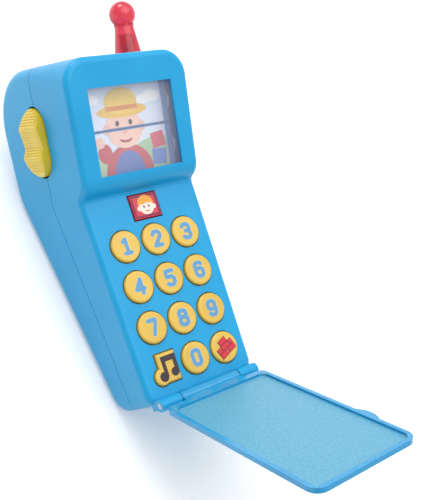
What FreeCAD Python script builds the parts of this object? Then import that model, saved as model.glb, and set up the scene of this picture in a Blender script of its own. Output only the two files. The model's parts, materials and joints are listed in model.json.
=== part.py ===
import FreeCAD, Part
import math
import os
import Sketcher
from FreeCAD import Placement, Rotation, Vector

# A toy mobile phone lying on its back: a wedge-shaped handle with a keypad, a
# deeper head with a picture window, a flip cover that stands open at the foot,
# and a thumb rocker that turns two three-sided picture drums behind the window.
#
# Frames used below, all with X across the phone:
#   keypad frame  origin at the middle of the key grid, Y towards the head, Z out
#   head frame    origin at the middle of the window, Y up the window, Z out
#   cover frame   origin on the hinge axis, Y along the cover, Z its outer side
#   rest frame    origin at the middle of the flat back, Y along it, Z up (the row)

DIMENSIONS = [
    # casing
    ("half_foot", 26.7, "half width of the casing at its foot"),
    ("side_flare", 0.0185, "how much each side opens out per mm towards the head"),
    ("foot_reach", 38.6, "key grid centre to the bottom end"),
    ("brow_reach", 47.4, "key grid centre to the foot of the brow"),
    ("brow_run", 2.6, "length of the brow's ramp along the keypad"),
    ("head_tilt", 17.75, "lean of the window over the keypad, degrees"),
    ("window_up", 70.34, "key grid centre to window centre, along the keypad"),
    ("window_out", 13.37, "window centre above the keypad plane"),
    ("forehead", 12.5, "window's top edge to the top of the head"),
    ("head_depth", 68.5, "window plane to the back corner, before rounding"),
    ("bend_reach", 65.1, "key grid centre to the bend in the back"),
    ("foot_depth", 30.0, "thickness of the casing at its foot"),
    ("back_slope", 13.7, "angle between the handle's back and the keypad"),
    ("rest_middle", 16.5, "key grid centre to the middle of the resting face"),
    ("brow_foot_radius", 2.0, "hollow at the foot of the brow"),
    ("brow_radius", 8.0, "roll of the brow into the window plane"),
    ("crown_radius", 25.0, "top back corner of the head"),
    ("bend_radius", 20.0, "bend in the back"),
    ("heel_radius", 8.5, "bottom back edge"),
    ("shoulder_radius", 11.0, "top corners seen from the front"),
    ("back_edge_radius", 5.0, "long edges of the back"),
    ("front_edge_radius", 2.6, "edges of the front"),
    ("wall", 2.2, "thickness of the casing's wall"),
    ("seam_depth", 30.0, "window plane to the seam between the shells"),
    ("seam_foot", 15.2, "keypad plane to the seam at the foot"),
    ("seam_knee", 52.8, "key grid centre to the seam's knee"),
    ("seam_groove", 0.35, "width and depth of the groove along the seam"),
    # window, pane and picture drums
    ("window_half_x", 19.93, "half width of the window"),
    ("window_half_y", 17.4, "half height of the window"),
    ("pane_lap", 1.5, "how far the pane laps behind the window's edge"),
    ("pane_thick", 1.2, "thickness of the clear pane"),
    ("pane_set_back", 1.2, "face of the pane behind the window plane"),
    ("drum_pitch", 18.85, "distance between the drum axes: twelve rack teeth"),
    ("drum_side", 18.4, "side of the three-sided drums"),
    ("drum_gap", 0.677, "clearance between the pane and a turning drum's corner"),
    ("drum_left", -19.5, "left end of the drums"),
    ("drum_right", 22.3, "right end of the drums"),
    ("label_thick", 0.25, "thickness of a picture label"),
    ("label_margin", 0.45, "bare strip above and below a label"),
    ("label_right", 19.1, "right end of the picture labels"),
    ("axle_radius", 1.0, "steel drum axles"),
    ("running_gap", 0.05, "radial clearance of turning shafts"),
    ("disc_radius", 5.3, "white end discs"),
    ("disc_thick", 0.8, "thickness of an end disc"),
    ("frame_left", -21.1, "left face of the drum frame"),
    ("frame_right", 25.5, "right face of the drum frame"),
    ("frame_wall", 1.3, "wall of the drum frame"),
    ("drum_room", 0.55, "clearance between the frame and a turning corner"),
    # pinions and rack
    ("tooth_module", 0.5, "module of the pinions and the rack"),
    ("pinion_teeth", 10, "teeth on each pinion"),
    ("pressure_angle", 25.0, "pressure angle, degrees"),
    ("backlash", 0.12, "play between rack and pinion teeth"),
    ("gear_left", -23.9, "left face of the pinions and the rack bar"),
    ("gear_right", -21.4, "right face of the pinions and the rack bar"),
    ("rack_bar", 2.4, "thickness of the rack bar behind its teeth"),
    ("rack_plate", 1.5, "thickness of the sliding plate"),
    ("rack_plate_half", 8.0, "half height of the sliding plate"),
    # thumb rocker
    ("rocker_y", -0.9, "rocker centre below the window centre"),
    ("rocker_depth", 32.0, "rocker centre behind the window plane"),
    ("rocker_half", 14.3, "half length of the rocker"),
    ("rocker_half_width", 8.2, "half width of the rocker"),
    ("rocker_gap", 0.85, "gap round the rocker in the casing"),
    ("rocker_stand", 3.9, "height of the rocker's crests above the casing"),
    ("rocker_dip", 2.4, "height of the hollow between the crests"),
    ("pivot_inset", 1.7, "rocker pivot inside the casing's half width at the foot"),
    ("pivot_radius", 1.5, "rocker pivot pin"),
    ("arm_half", 2.5, "half width of the rocker's arm"),
    # keys
    ("key_pitch_x", 15.0, "key columns"),
    ("key_pitch_y", 17.2, "key rows"),
    ("key_radius", 6.6, "round keys"),
    ("key_gap", 0.5, "gap round a key in the casing"),
    ("key_rise", 1.2, "top of a key above the keypad"),
    ("face_key_rise", 0.6, "top of the picture key above the keypad"),
    ("face_key_edge", 0.4, "rounding of the picture key's top edge"),
    ("key_flange", 0.8, "how far a key's flange laps behind the casing"),
    ("key_flange_thick", 1.1, "thickness of a key's flange"),
    ("key_edge", 0.9, "rounding of a key's top edge"),
    ("key_stem_radius", 3.0, "plunger under a key"),
    ("key_travel", 1.2, "how far a key presses"),
    ("dome_height", 1.7, "height of a rubber dome"),
    ("mat_thick", 0.7, "rubber key mat"),
    ("board_thick", 1.6, "circuit board"),
    ("board_half", 20.5, "half width of the circuit board"),
    ("face_key_y", 40.4, "picture key above the key grid centre"),
    ("face_key_x", 13.2, "width of the picture key"),
    ("face_key_h", 10.4, "height of the picture key"),
    ("note_left", -18.3, "left edge of the note key"),
    ("note_right", -9.3, "right edge of the note key"),
    ("note_top", -19.4, "top edge of the note key"),
    ("note_foot", -31.6, "bottom edge of the note key"),
    ("note_lobe_x", -17.6, "lobe of the note key"),
    ("note_lobe_y", -28.6, "lobe of the note key"),
    ("note_lobe", 3.5, "radius of the note key's lobe"),
    # flip cover and hinge
    ("hinge_out", 3.2, "hinge axis above the keypad plane"),
    ("cover_open", 114.4, "angle of the cover from closed to its stop, degrees"),
    ("cover_inset", 1.9, "how far the cover is narrower than the casing, each side"),
    ("cover_start", 4.3, "hinge axis to the cover's near edge"),
    ("cover_reach", 85.6, "hinge axis to the cover's far edge"),
    ("cover_outer", 1.1, "outer face above the hinge axis"),
    ("cover_inner", 0.9, "rim below the hinge axis"),
    ("cover_panel", 1.0, "thickness of the cover's panel"),
    ("cover_rim", 1.8, "width of the cover's rim"),
    ("cover_corner", 5.0, "far corners of the cover"),
    ("cover_heel", 3.0, "near corners of the cover"),
    ("tab_centre", 62.0, "hinge axis to the finger tab"),
    ("tab_half", 6.2, "half length of the finger tab"),
    ("cover_near_rim", 2.8, "width of the rim beside the hinge"),
    ("tab_out", 2.4, "how far the finger tab stands out"),
    ("barrel_radius", 2.4, "hinge barrel"),
    ("barrel_half", 14.6, "half length of the cover's barrel"),
    ("lug_start", 15.0, "inner end of the casing's lugs"),
    ("pin_radius", 1.2, "steel hinge pin"),
    # antenna
    ("antenna_inset", 7.7, "antenna inside the casing's half width at the foot"),
    ("antenna_depth", 27.7, "antenna behind the window plane"),
    ("antenna_foot_radius", 6.1, "stalk at the top of the head"),
    ("antenna_neck_radius", 4.1, "stalk under the ball"),
    ("antenna_stalk", 13.4, "top of the head to the neck"),
    ("antenna_ball", 5.75, "radius of the ball"),
    ("antenna_ball_up", 18.1, "top of the head to the ball's centre"),
    ("antenna_flange", 6.9, "flange that holds the antenna inside the head"),
    ("antenna_root", 6.0, "top of the head to the top of that flange"),
    ("flange_thick", 1.6, "thickness of that flange"),
    ("lamp_radius", 2.5, "lamp in the antenna's root"),
    # screws
    ("screw_inset", 5.1, "screws at the key rows, inside the half width at the foot"),
    ("screw_inset_high", 4.3, "screws at the brow, inside the half width at the foot"),
    ("screw_high_y", 43.6, "key grid centre to the screws at the brow"),
    ("top_screw_x", -8.0, "screw at the top of the head, across"),
    ("top_screw_y", 24.2, "window centre to the screw at the top of the head"),
    ("screw_radius", 1.3, "casing screws"),
    ("screw_head", 2.7, "radius of a screw head"),
    ("screw_head_thick", 2.0, "thickness of a screw head"),
    ("screw_bite", 8.0, "length of a screw past the seam"),
    ("boss_radius", 3.0, "screw bosses"),
    ("screw_seat", 5.0, "seam to the underside of a screw head"),
    # batteries, in the rest frame
    ("cell_radius", 7.1, "AA cells"),
    ("cell_length", 49.2, "AA cells without the nub"),
    ("cell_gap", 0.8, "between the two cells"),
    ("bay_middle", -18.6, "middle of the battery bay along the back"),
    ("contact_room", 5.8, "room for contacts and springs at both ends"),
    ("bay_wall", 1.8, "wall of the battery box"),
    ("door_lap", 0.8, "how far the door reaches past the bay, each side"),
    ("door_tail", 8.0, "how far the door reaches past the bay at its screw"),
    ("door_gap", 0.2, "gap round the battery door"),
    ("door_thick", 2.1, "thickness of the battery door"),
    ("contact_thick", 0.4, "thickness of a contact plate"),
    ("spring_wire", 0.25, "radius of a contact spring's wire"),
    ("spring_radius", 2.6, "radius of a contact spring"),
    ("spring_turns", 2, "turns of a contact spring"),
    ("spring_gap", 0.1, "clearance between a spring and its plate"),
    # loudspeaker
    ("speaker_share", 0.5, "speaker centre, as a share of the straight part of the upper back"),
    ("speaker_radius", 12.5, "loudspeaker"),
    ("grille_hole", 1.1, "radius of a grille hole"),
    ("grille_ring", 4.6, "radius of the first ring of grille holes"),
]

# Corners of the side profile and other places that follow from the sizes above.
DERIVED = [
    ("drum_depth", "pane_set_back + pane_thick + drum_side / sqrt(3) + drum_gap"),
    ("label_height", "drum_side - 2 * label_margin"),
    ("frame_half_y", "drum_pitch / 2 + drum_side / sqrt(3) + drum_room + frame_wall"),
    ("frame_back", "drum_depth + drum_side / sqrt(3) + drum_gap - 0.3"),
    ("pivot_in", "half_foot - pivot_inset"),
    ("cover_half", "half_foot - cover_inset"),
    ("lug_end", "half_foot - 2.1"),
    ("antenna_x", "half_foot - antenna_inset"),
    ("cell_pitch", "2 * cell_radius + cell_gap"),
    ("cell_lift", "wall + cell_radius + 0.9"),
    ("bay_length", "cell_length + contact_room"),
    ("bay_width", "cell_pitch + 2 * cell_radius + 1"),
    ("bay_height", "cell_lift + cell_radius + 0.7 - wall"),
    ("brow_top_y", "brow_reach + brow_run"),
    ("brow_top_z", "window_out + (brow_reach + brow_run - window_up) * tan(head_tilt)"),
    ("top_half", "window_half_y + forehead"),
    ("top_y", "window_up + top_half * cos(head_tilt)"),
    ("top_z", "window_out + top_half * sin(head_tilt)"),
    ("crown_y", "top_y + head_depth * sin(head_tilt)"),
    ("crown_z", "top_z - head_depth * cos(head_tilt)"),
    ("bend_z", "-foot_depth - tan(back_slope) * (bend_reach + foot_reach)"),
    ("rest_z", "-foot_depth - tan(back_slope) * (rest_middle + foot_reach)"),
    ("seam_knee_z", "window_out + (seam_knee - window_up) * tan(head_tilt) - seam_depth / cos(head_tilt)"),
    ("pinion_radius", "tooth_module * pinion_teeth / 2"),
    ("seat_z", "-wall - 0.05"),
    ("stem_foot", "seat_z - key_flange_thick - 1.85"),
    ("mat_top", "stem_foot - dome_height"),
    ("board_top", "mat_top - mat_thick"),
    ("side_x", "half_foot + side_flare * (foot_reach + window_up + rocker_y * cos(head_tilt)"
               " + rocker_depth * sin(head_tilt))"),
]

CUTTING = 200.0          # reach of tools that cut right through the casing

doc = FreeCAD.newDocument("toy_phone")
dim = doc.addObject("Spreadsheet::Sheet", "dim")
ALIASES = []
NODES = []


def add_cell(alias, content, note=""):
    """One row of the sheet: a name, its number or formula, and what it is."""
    row = len(ALIASES) + 1
    dim.set("A%d" % row, alias)
    dim.set("B%d" % row, content)
    dim.set("C%d" % row, note)
    dim.setAlias("B%d" % row, alias)
    ALIASES.append(alias)


def fill_sheet():
    """Write the sizes, then the places worked out from them, with their aliases."""
    for alias, number, note in DIMENSIONS:
        add_cell(alias, str(number), note)
    for alias, formula in DERIVED:
        add_cell(alias, "=" + formula)
    doc.recompute()


def size(alias):
    return float(dim.get(alias))


def bind(thing, path, expression):
    """Tie a property to the sheet; aliases are written bare and get their prefix here."""
    if isinstance(expression, (int, float)):
        expression = repr(float(expression))
    thing.setExpression(path, with_prefix(expression))


def with_prefix(expression):
    """Put the sheet's name before every alias in an expression."""
    words, word = [], ""
    for letter in expression + " ":
        if letter.isalnum() or letter == "_" or (letter == "." and word[:1].isdigit()):
            word += letter
            continue
        words.append("dim." + word if word in ALIASES else word)
        words.append(letter)
        word = ""
    return "".join(words).strip()


def value(expression):
    """The number that an expression stands for now."""
    if isinstance(expression, (int, float)):
        return float(expression)
    return float(dim.evalExpression(with_prefix(expression)))


fill_sheet()


# ---------------------------------------------------------------- building blocks

def box(name, low, sizes):
    """A box from its low corner and its three sizes."""
    solid = doc.addObject("Part::Box", name)
    for path, expression in zip(("Length", "Width", "Height"), sizes):
        bind(solid, path, expression)
    for path, expression in zip("xyz", low):
        bind(solid, "Placement.Base." + path, expression)
    return solid


TURNS = {
    "z": Rotation(),
    "-z": Rotation(Vector(1, 0, 0), 180),
    "x": Rotation(Vector(0, 1, 0), 90),
    "y": Rotation(Vector(1, 0, 0), -90),
}


def round_bar(name, radius, length, start, along="z", radius_end=None):
    """A cylinder, or a cone where the far radius differs, from its start point."""
    if radius_end is None:
        solid = doc.addObject("Part::Cylinder", name)
        bind(solid, "Radius", radius)
    else:
        solid = doc.addObject("Part::Cone", name)
        bind(solid, "Radius1", radius)
        bind(solid, "Radius2", radius_end)
    bind(solid, "Height", length)
    solid.Placement.Rotation = TURNS[along]
    for path, expression in zip("xyz", start):
        bind(solid, "Placement.Base." + path, expression)
    return solid


def fuse(name, pieces):
    solid = doc.addObject("Part::MultiFuse", name)
    solid.Shapes = pieces
    solid.Refine = True
    return solid


def cut(name, base, tools):
    solid = doc.addObject("Part::Cut", name)
    solid.Base = base
    solid.Tool = tools[0] if len(tools) == 1 else fuse(name + "_tools", tools)
    return solid


def common(name, first, second):
    solid = doc.addObject("Part::Common", name)
    solid.Base, solid.Tool = first, second
    return solid


def group(name, pieces):
    """Identical pieces that stay separate solids."""
    bundle = doc.addObject("Part::Compound", name)
    bundle.Links = pieces
    return bundle


def soften(name, base, edges_with_radii):
    """A Part fillet; each entry is an edge number and its radius at either end."""
    solid = doc.addObject("Part::Fillet", name)
    solid.Base = base
    solid.Edges = edges_with_radii
    return solid


def pick_edges(shape, radius, wanted):
    return [(number, radius, radius) for number, edge in enumerate(shape.Edges, start=1) if wanted(edge)]


def soften_level(name, base, radius, level):
    """Round every edge that lies wholly at one height."""
    doc.recompute()
    flat = pick_edges(base.Shape, size(radius), lambda edge: all(
        abs(edge.valueAt(t).z - level) < 1e-4 for t in middle_and_ends(edge)))
    return soften(name, base, flat)


def middle_and_ends(edge):
    first, last = edge.ParameterRange
    return first, (first + last) / 2, last


def carry(piece, frame):
    """Take a piece drawn in one frame into another; its own place stays tied to the sheet."""
    holder = doc.addObject("Part::Compound", piece.Name + "_carried")
    holder.Links = [piece]
    holder.Placement = frame
    return holder


def finish(node, solid, frame):
    """Name a finished sub-part and put it in its place in the row."""
    placed = carry(solid, frame)
    placed.Label = node
    NODES.append((node, placed))
    return placed


def sketch_on(body, name, role):
    """A sketch on one of the body's own origin planes."""
    sketch = body.newObject("Sketcher::SketchObject", name)
    plane = next(feature for feature in body.Origin.OriginFeatures if feature.Role == role)
    sketch.AttachmentSupport = [(plane, "")]
    sketch.MapMode = "FlatFace"
    return sketch


def draw_outline(sketch, corners):
    """A closed outline of straight sides whose corners are tied to the sheet."""
    places = [Vector(value(x), value(y), 0) for x, y in corners]
    first = sketch.GeometryCount
    count = len(corners)
    for index, place in enumerate(places):
        sketch.addGeometry(Part.LineSegment(place, places[(index + 1) % count]))
    for index in range(count):
        following = first + (index + 1) % count
        sketch.addConstraint(Sketcher.Constraint("Coincident", first + index, 2, following, 1))
    for index, (x, y) in enumerate(corners):
        for kind, number, expression in (("DistanceX", places[index].x, x), ("DistanceY", places[index].y, y)):
            row = sketch.addConstraint(Sketcher.Constraint(kind, -1, 1, first + index, 1, number))
            bind(sketch, "Constraints[%d]" % row, expression)


def pad_outline(name, role, corners, length, symmetric=False, reverse=False):
    """A body with one padded outline."""
    body = doc.addObject("PartDesign::Body", name)
    sketch = sketch_on(body, name + "_outline", role)
    draw_outline(sketch, corners)
    doc.recompute()
    pad = body.newObject("PartDesign::Pad", name + "_pad")
    pad.Profile = sketch
    bind(pad, "Length", length)
    pad.SideType = "Symmetric" if symmetric else "One side"
    pad.Reversed = reverse
    body.Tip = pad
    doc.recompute()
    return body


def round_cross_edge(body, name, place, radius):
    """Round the edge that runs across the phone through a point of the profile."""
    y, z = value(place[0]), value(place[1])
    edges = [
        "Edge%d" % number
        for number, edge in enumerate(body.Shape.Edges, start=1)
        if all(abs(v.Y - y) < 1e-3 and abs(v.Z - z) < 1e-3 for v in edge.Vertexes)
    ]
    round_edges(body, name, edges, radius)


def round_edges(body, name, edges, radius):
    """Add a fillet on the body's last feature."""
    last = body.Tip
    fillet = body.newObject("PartDesign::Fillet", name)
    fillet.Base = (last, edges)
    bind(fillet, "Radius", radius)
    body.Tip = fillet
    doc.recompute()


# ------------------------------------------------------------------------- frames

REST = Rotation(Vector(1, 0, 0), size("back_slope"))
REST_MIDDLE = Vector(0, size("rest_middle"), size("rest_z"))
KEYPAD = Placement(REST.multVec(REST_MIDDLE).negative(), REST)
HEAD_ON_KEYPAD = Placement(
    Vector(0, size("window_up"), size("window_out")), Rotation(Vector(1, 0, 0), size("head_tilt")))
HEAD = KEYPAD.multiply(HEAD_ON_KEYPAD)
REST_ON_KEYPAD = KEYPAD.inverse()
ROW = Placement()
COVER = KEYPAD.multiply(Placement(
    Vector(0, -size("foot_reach"), size("hinge_out")), Rotation(Vector(1, 0, 0), size("cover_open"))))


def speaker_frame():
    """Origin on the straight part of the upper back, Z out of the casing."""
    bend = Vector(0, size("bend_reach"), size("bend_z"))
    crown = Vector(0, size("crown_y"), size("crown_z"))
    upper = crown - bend
    lower = bend - Vector(0, -size("foot_reach"), -size("foot_depth"))
    top = Vector(0, size("top_y"), size("top_z")) - crown
    start = size("bend_radius") * math.tan(lower.getAngle(upper) / 2)
    end = upper.Length - size("crown_radius") * math.tan(upper.getAngle(top) / 2)
    along = Vector(upper).normalize()
    place = bend + along * (start + size("speaker_share") * (end - start))
    outward = Vector(0, along.z, -along.y)
    return Placement(place, Rotation(Vector(-1, 0, 0), Vector(), outward, "ZXY"))


SPEAKER_ON_KEYPAD = speaker_frame()
SPEAKER = KEYPAD.multiply(SPEAKER_ON_KEYPAD)


# ------------------------------------------------------------------------- casing

PROFILE = [
    ("-foot_reach", "0"),
    ("brow_reach", "0"),
    ("brow_top_y", "brow_top_z"),
    ("top_y", "top_z"),
    ("crown_y", "crown_z"),
    ("bend_reach", "bend_z"),
    ("-foot_reach", "-foot_depth"),
]


def inset_profile(name, inset):
    """The side profile moved inwards by a distance, as cells of the sheet."""
    count = len(PROFILE)
    for index, (y, z) in enumerate(PROFILE):
        next_y, next_z = PROFILE[(index + 1) % count]
        run, rise = "(%s - (%s))" % (next_y, y), "(%s - (%s))" % (next_z, z)
        length = "sqrt(%s * %s + %s * %s)" % (run, run, rise, rise)
        add_cell("%s_normal_y_%d" % (name, index), "=%s / %s" % (rise, length))
        add_cell("%s_normal_z_%d" % (name, index), "=-%s / %s" % (run, length))
    corners = []
    for index, (y, z) in enumerate(PROFILE):
        before, after = (index - 1) % count, index
        sums = {axis: "(%s_normal_%s_%d + %s_normal_%s_%d)" % (name, axis, before, name, axis, after)
                for axis in "yz"}
        spread = " + ".join("%s_normal_%s_%d * %s_normal_%s_%d" % (name, axis, before, name, axis, after)
                            for axis in "yz")
        corner = []
        for axis, place in (("y", y), ("z", z)):
            alias = "%s_%s_%d" % (name, axis, index)
            add_cell(alias, "=%s + %s * %s / (1 + %s)" % (place, inset, sums[axis], spread))
            corner.append(alias)
        corners.append(tuple(corner))
    doc.recompute()
    return corners


def casing_block(name, inset):
    """The phone as one solid, or its inside: the side profile, narrowed towards the foot."""
    profile = inset_profile(name, inset)
    body = pad_outline(name + "_profile", "YZ_Plane", profile, "2 * half_foot + 30", symmetric=True)
    round_cross_edge(body, name + "_brow_foot", profile[1], "brow_foot_radius + " + inset)
    for edge, corner, radius in (("brow", 2, "brow_radius"), ("crown", 4, "crown_radius"),
                                 ("bend", 5, "bend_radius"), ("heel", 6, "heel_radius")):
        round_cross_edge(body, "%s_%s" % (name, edge), profile[corner], "%s - %s" % (radius, inset))
    waste = []
    for side, sign in (("right", ""), ("left", "-")):
        near = sign + "(half_foot - 20 * side_flare - %s)" % inset
        far = sign + "(half_foot + (foot_reach + 140) * side_flare - %s)" % inset
        out = sign + "(half_foot + 60)"
        outline = [(near, "-foot_reach - 20"), (out, "-foot_reach - 20"), (out, "140"), (far, "140")]
        waste.append(pad_outline("%s_waste_%s" % (name, side), "XY_Plane", outline, 2 * CUTTING, symmetric=True))
    block = cut(name + "_tapered", body, waste)
    doc.recompute()
    inward = value(inset)
    return soften(name + "_backed", block, long_edges(
        block.Shape, size("shoulder_radius") - inward, size("back_edge_radius") - inward,
        value("top_half") - inward))


def long_edges(shape, shoulder, edge, top):
    """The edges from the foot round the back to the top of the head, on both sides.

    They get the edge radius, and the shoulder radius where they meet the top face.
    """
    up = HEAD_ON_KEYPAD.inverse()
    chosen = []
    for number, line in enumerate(shape.Edges, start=1):
        ends = [line.valueAt(t) for t in (line.ParameterRange[0], line.ParameterRange[1])]
        beside = all(abs(p.x) > 20 for p in ends) and ends[0].x * ends[1].x > 0
        if beside and min(p.z for p in ends) < -size("wall") - 0.1:
            radii = [shoulder if abs(up.multVec(p).y - top) < 0.01 else edge for p in ends]
            chosen.append((number, radii[0], radii[1]))
    return chosen


def front_edges(shape):
    """The loop round the keypad and the window plane."""
    inside = (-size("foot_reach") + 0.1, size("top_y") - 0.1)
    chosen = []
    for number, line in enumerate(shape.Edges, start=1):
        points = [line.valueAt(t) for t in middle_and_ends(line)]
        across = abs(points[0].y - points[2].y) < 1e-3 and inside[0] < points[1].y < inside[1]
        if all(p.z > -0.01 for p in points) and not across:
            chosen.append((number, size("front_edge_radius"), size("front_edge_radius")))
    return chosen


def casing_solids():
    """The rounded outside, the hollow inside it, and a core just under the surface."""
    backed = casing_block("casing", "0")
    doc.recompute()
    outside = soften("casing_outside", backed, front_edges(backed.Shape))
    return outside, casing_block("hollow", "wall"), casing_block("core", "seam_groove")


def seam_tool(name, drop):
    """Everything in front of the seam, which runs level with the window, then down the handle."""
    far_y = "seam_knee + 150 * cos(head_tilt)"
    far_z = "seam_knee_z + 150 * sin(head_tilt)"
    corners = [
        ("-foot_reach - 40", "-seam_foot - 40 * (seam_knee_z + seam_foot) / (seam_knee + foot_reach) - %s" % drop),
        ("seam_knee", "seam_knee_z - %s" % drop),
        (far_y, far_z + " - %s" % drop),
        (far_y, far_z + " + 90"),
        ("-foot_reach - 40", "60"),
    ]
    return pad_outline(name, "YZ_Plane", corners, 2 * CUTTING, symmetric=True)


def head_box(name, low, sizes):
    return carry(box(name, low, sizes), HEAD_ON_KEYPAD)


def screw_spots():
    """Each casing screw: name, frame, x, y, and how far its seam lies behind the frame's plane."""
    spots = []
    seam_rise = (value("seam_knee_z") + size("seam_foot")) / (size("seam_knee") + size("foot_reach"))
    low, high = size("half_foot") - size("screw_inset"), size("half_foot") - size("screw_inset_high")
    for name, x, y in (("low_left", -low, 0.0), ("low_right", low, 0.0),
                       ("brow_left", -high, size("screw_high_y")), ("brow_right", high, size("screw_high_y"))):
        depth = size("seam_foot") - seam_rise * (y + size("foot_reach"))
        spots.append((name, Placement(), x, y, depth))
    spots.append(("top", HEAD_ON_KEYPAD, size("top_screw_x"), size("top_screw_y"), size("seam_depth")))
    return spots


def screw_column(name, spot, radius, low, high):
    """A round column on a screw's axis; low and high are heights over the seam."""
    _, frame, x, y, depth = spot
    column = round_bar("%s_%s" % (name, spot[0]), radius, high - low, (x, y, low - depth))
    return carry(column, frame)


def rocker_slot():
    """The obround opening in the left side."""
    half = "(rocker_half + rocker_gap)"
    width = "(rocker_half_width + rocker_gap - 0.2)"
    start = "-side_x - 6"
    middle = box("slot_middle", (start, "rocker_y - %s + %s" % (half, width), "-rocker_depth - %s" % width),
                 ("12", "2 * (%s - %s)" % (half, width), "2 * %s" % width))
    ends = [round_bar("slot_end", width, 12, (start, "rocker_y + %s * (%s - %s)" % (sign, half, width),
                                              "-rocker_depth"), "x") for sign in ("1", "-1")]
    return carry(fuse("rocker_slot", [middle] + ends), HEAD_ON_KEYPAD)


def mast_way(name):
    """The hole for the antenna's root, with a seat for its flange."""
    hole = round_bar(name + "_hole", "antenna_foot_radius + 0.15", "antenna_root + 4",
                     ("antenna_x", "top_half - antenna_root - flange_thick - 2", "-antenna_depth"), "y")
    seat = round_bar(name + "_seat", "antenna_flange + 0.15", "flange_thick + 0.2",
                     ("antenna_x", "top_half - antenna_root - flange_thick - 0.1", "-antenna_depth"), "y")
    return carry(fuse(name, [hole, seat]), HEAD_ON_KEYPAD)


def key_prism(name, kind, x, y, grow, low, height):
    """The plan of a key, grown all round, as a prism from one height."""
    if kind == "round":
        return round_bar(name, "key_radius + %s" % grow, height, (x, y, low))
    if kind == "face":
        return box(name, ("-face_key_x / 2 - %s" % grow, "face_key_y - face_key_h / 2 - %s" % grow, low),
                   ("face_key_x + 2 * %s" % grow, "face_key_h + 2 * %s" % grow, height))
    plate = box(name + "_plate", ("note_left - %s" % grow, "note_foot - %s" % grow, low),
                ("note_right - note_left + 2 * %s" % grow, "note_top - note_foot + 2 * %s" % grow, height))
    lobe = round_bar(name + "_lobe", "note_lobe + %s" % grow, height, ("note_lobe_x", "note_lobe_y", low))
    return fuse(name, [plate, lobe])


def key_list():
    """Every key: node name, plan, and the place of its plunger."""
    keys = []
    for number in range(1, 10):
        column, row = (number - 1) % 3 - 1, (number - 1) // 3
        keys.append(("key_%d" % number, "round", "%d * key_pitch_x" % column, "%.1f * key_pitch_y" % (1.5 - row)))
    keys.append(("key_0", "round", "0", "-1.5 * key_pitch_y"))
    keys.append(("brick_key", "round", "key_pitch_x", "-1.5 * key_pitch_y"))
    keys.append(("note_key", "note", "(note_left + note_right) / 2", "(note_top + note_foot) / 2"))
    keys.append(("face_key", "face", "0", "face_key_y"))
    return keys


def hinge_lugs():
    """Two lugs on the keypad's bottom edge that hold the hinge pin."""
    lugs = []
    for side, start in (("right", "lug_start"), ("left", "-lug_end")):
        knuckle = round_bar("lug_knuckle_" + side, "barrel_radius + 0.1", "lug_end - lug_start",
                            (start, "-foot_reach", "hinge_out"), "x")
        stem = box("lug_stem_" + side, (start, "-foot_reach - 1.6", "-2.5"),
                   ("lug_end - lug_start", "4", "hinge_out + 2.5"))
        lugs += [knuckle, stem]
    return lugs


def front_shell(outside, hollow, front, spots, slot):
    half = common("front_half", outside, front)
    skin = cut("front_skin", half, [hollow])
    columns = fuse("front_columns", [screw_column("front_boss", s, "boss_radius", 0, 60) for s in spots])
    bosses = common("front_bosses", columns, half)
    raw = fuse("front_raw", [skin, bosses] + hinge_lugs())

    window = head_box("window_opening", ("-window_half_x", "-window_half_y", -30),
                      ("2 * window_half_x", "2 * window_half_y", 40))
    clear = head_box("drum_space", ("frame_left - 0.3", "-frame_half_y - 0.3", "-frame_back - 8"),
                     ("frame_right - frame_left + 0.6", "2 * frame_half_y + 0.6", "frame_back + 8 - 2.3"))
    rebate = head_box("pane_rebate", ("-window_half_x - pane_lap", "-window_half_y - pane_lap", -3),
                      ("2 * (window_half_x + pane_lap)", "2 * (window_half_y + pane_lap)", "3 - pane_set_back"))
    holes = [key_prism(name + "_hole", kind, x, y, "key_gap", -6, 12) for name, kind, x, y in key_list()]
    pilots = [screw_column("pilot", s, "screw_radius", -1, size("screw_bite") + 0.5) for s in spots]
    pin_bore = round_bar("lug_bore", "pin_radius", "2 * lug_end + 2",
                         ("-lug_end - 1", "-foot_reach", "hinge_out"), "x")
    mast = mast_way("mast_way_front")
    shell = cut("front_shell", raw, [window, clear, rebate, slot, pin_bore, mast] + holes + pilots)
    return finish("front_shell", shell, KEYPAD)


def rear_shell(outside, hollow, core, front, spots, slot):
    half = cut("rear_half", outside, [front])
    skin = cut("rear_skin", half, [hollow])
    columns = fuse("rear_columns", [screw_column("rear_post", s, "boss_radius + 0.4", -70, 0) for s in spots])
    bracket = head_box("pivot_bracket", ("-side_x - 3", "rocker_y - 3.4", "-rocker_depth - rocker_half_width - 3.6"),
                       ("side_x + 3 - pivot_in + pivot_radius + 1.6", 6.8, 2.4))
    posts = common("rear_posts", fuse("rear_inner", [columns, bracket]), half)
    raw = fuse("rear_raw", [skin, posts])
    pin_way = carry(round_bar("pin_way", "pivot_radius", 4,
                              ("-pivot_in", "rocker_y", "-rocker_depth - rocker_half_width - 4.2")),
                    HEAD_ON_KEYPAD)

    seat = -size("screw_seat")
    wells = [screw_column("screw_well", s, "screw_head + 0.3", -80, seat) for s in spots]
    shanks = [screw_column("screw_way", s, "screw_radius + 0.25", seat - 1, 1) for s in spots]
    door = carry(box("door_opening", ("-bay_width / 2 - door_lap", "bay_middle - bay_length / 2 - door_lap", -5),
                         ("bay_width + 2 * door_lap", "bay_length + door_lap + door_tail", 5.2 + size("wall"))),
                     REST_ON_KEYPAD)
    grille = [carry(round_bar("grille_hole", "grille_hole", 12, (x, y, -8)), SPEAKER_ON_KEYPAD)
              for x, y in grille_spots()]
    mast = mast_way("mast_way_rear")
    groove = cut("seam_groove_ring", seam_tool("groove_floor", "seam_groove"), [core])
    shell = cut("rear_shell", raw, wells + shanks + [door, slot, mast, groove, pin_way] + grille)
    return finish("rear_shell", shell, KEYPAD)


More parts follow.
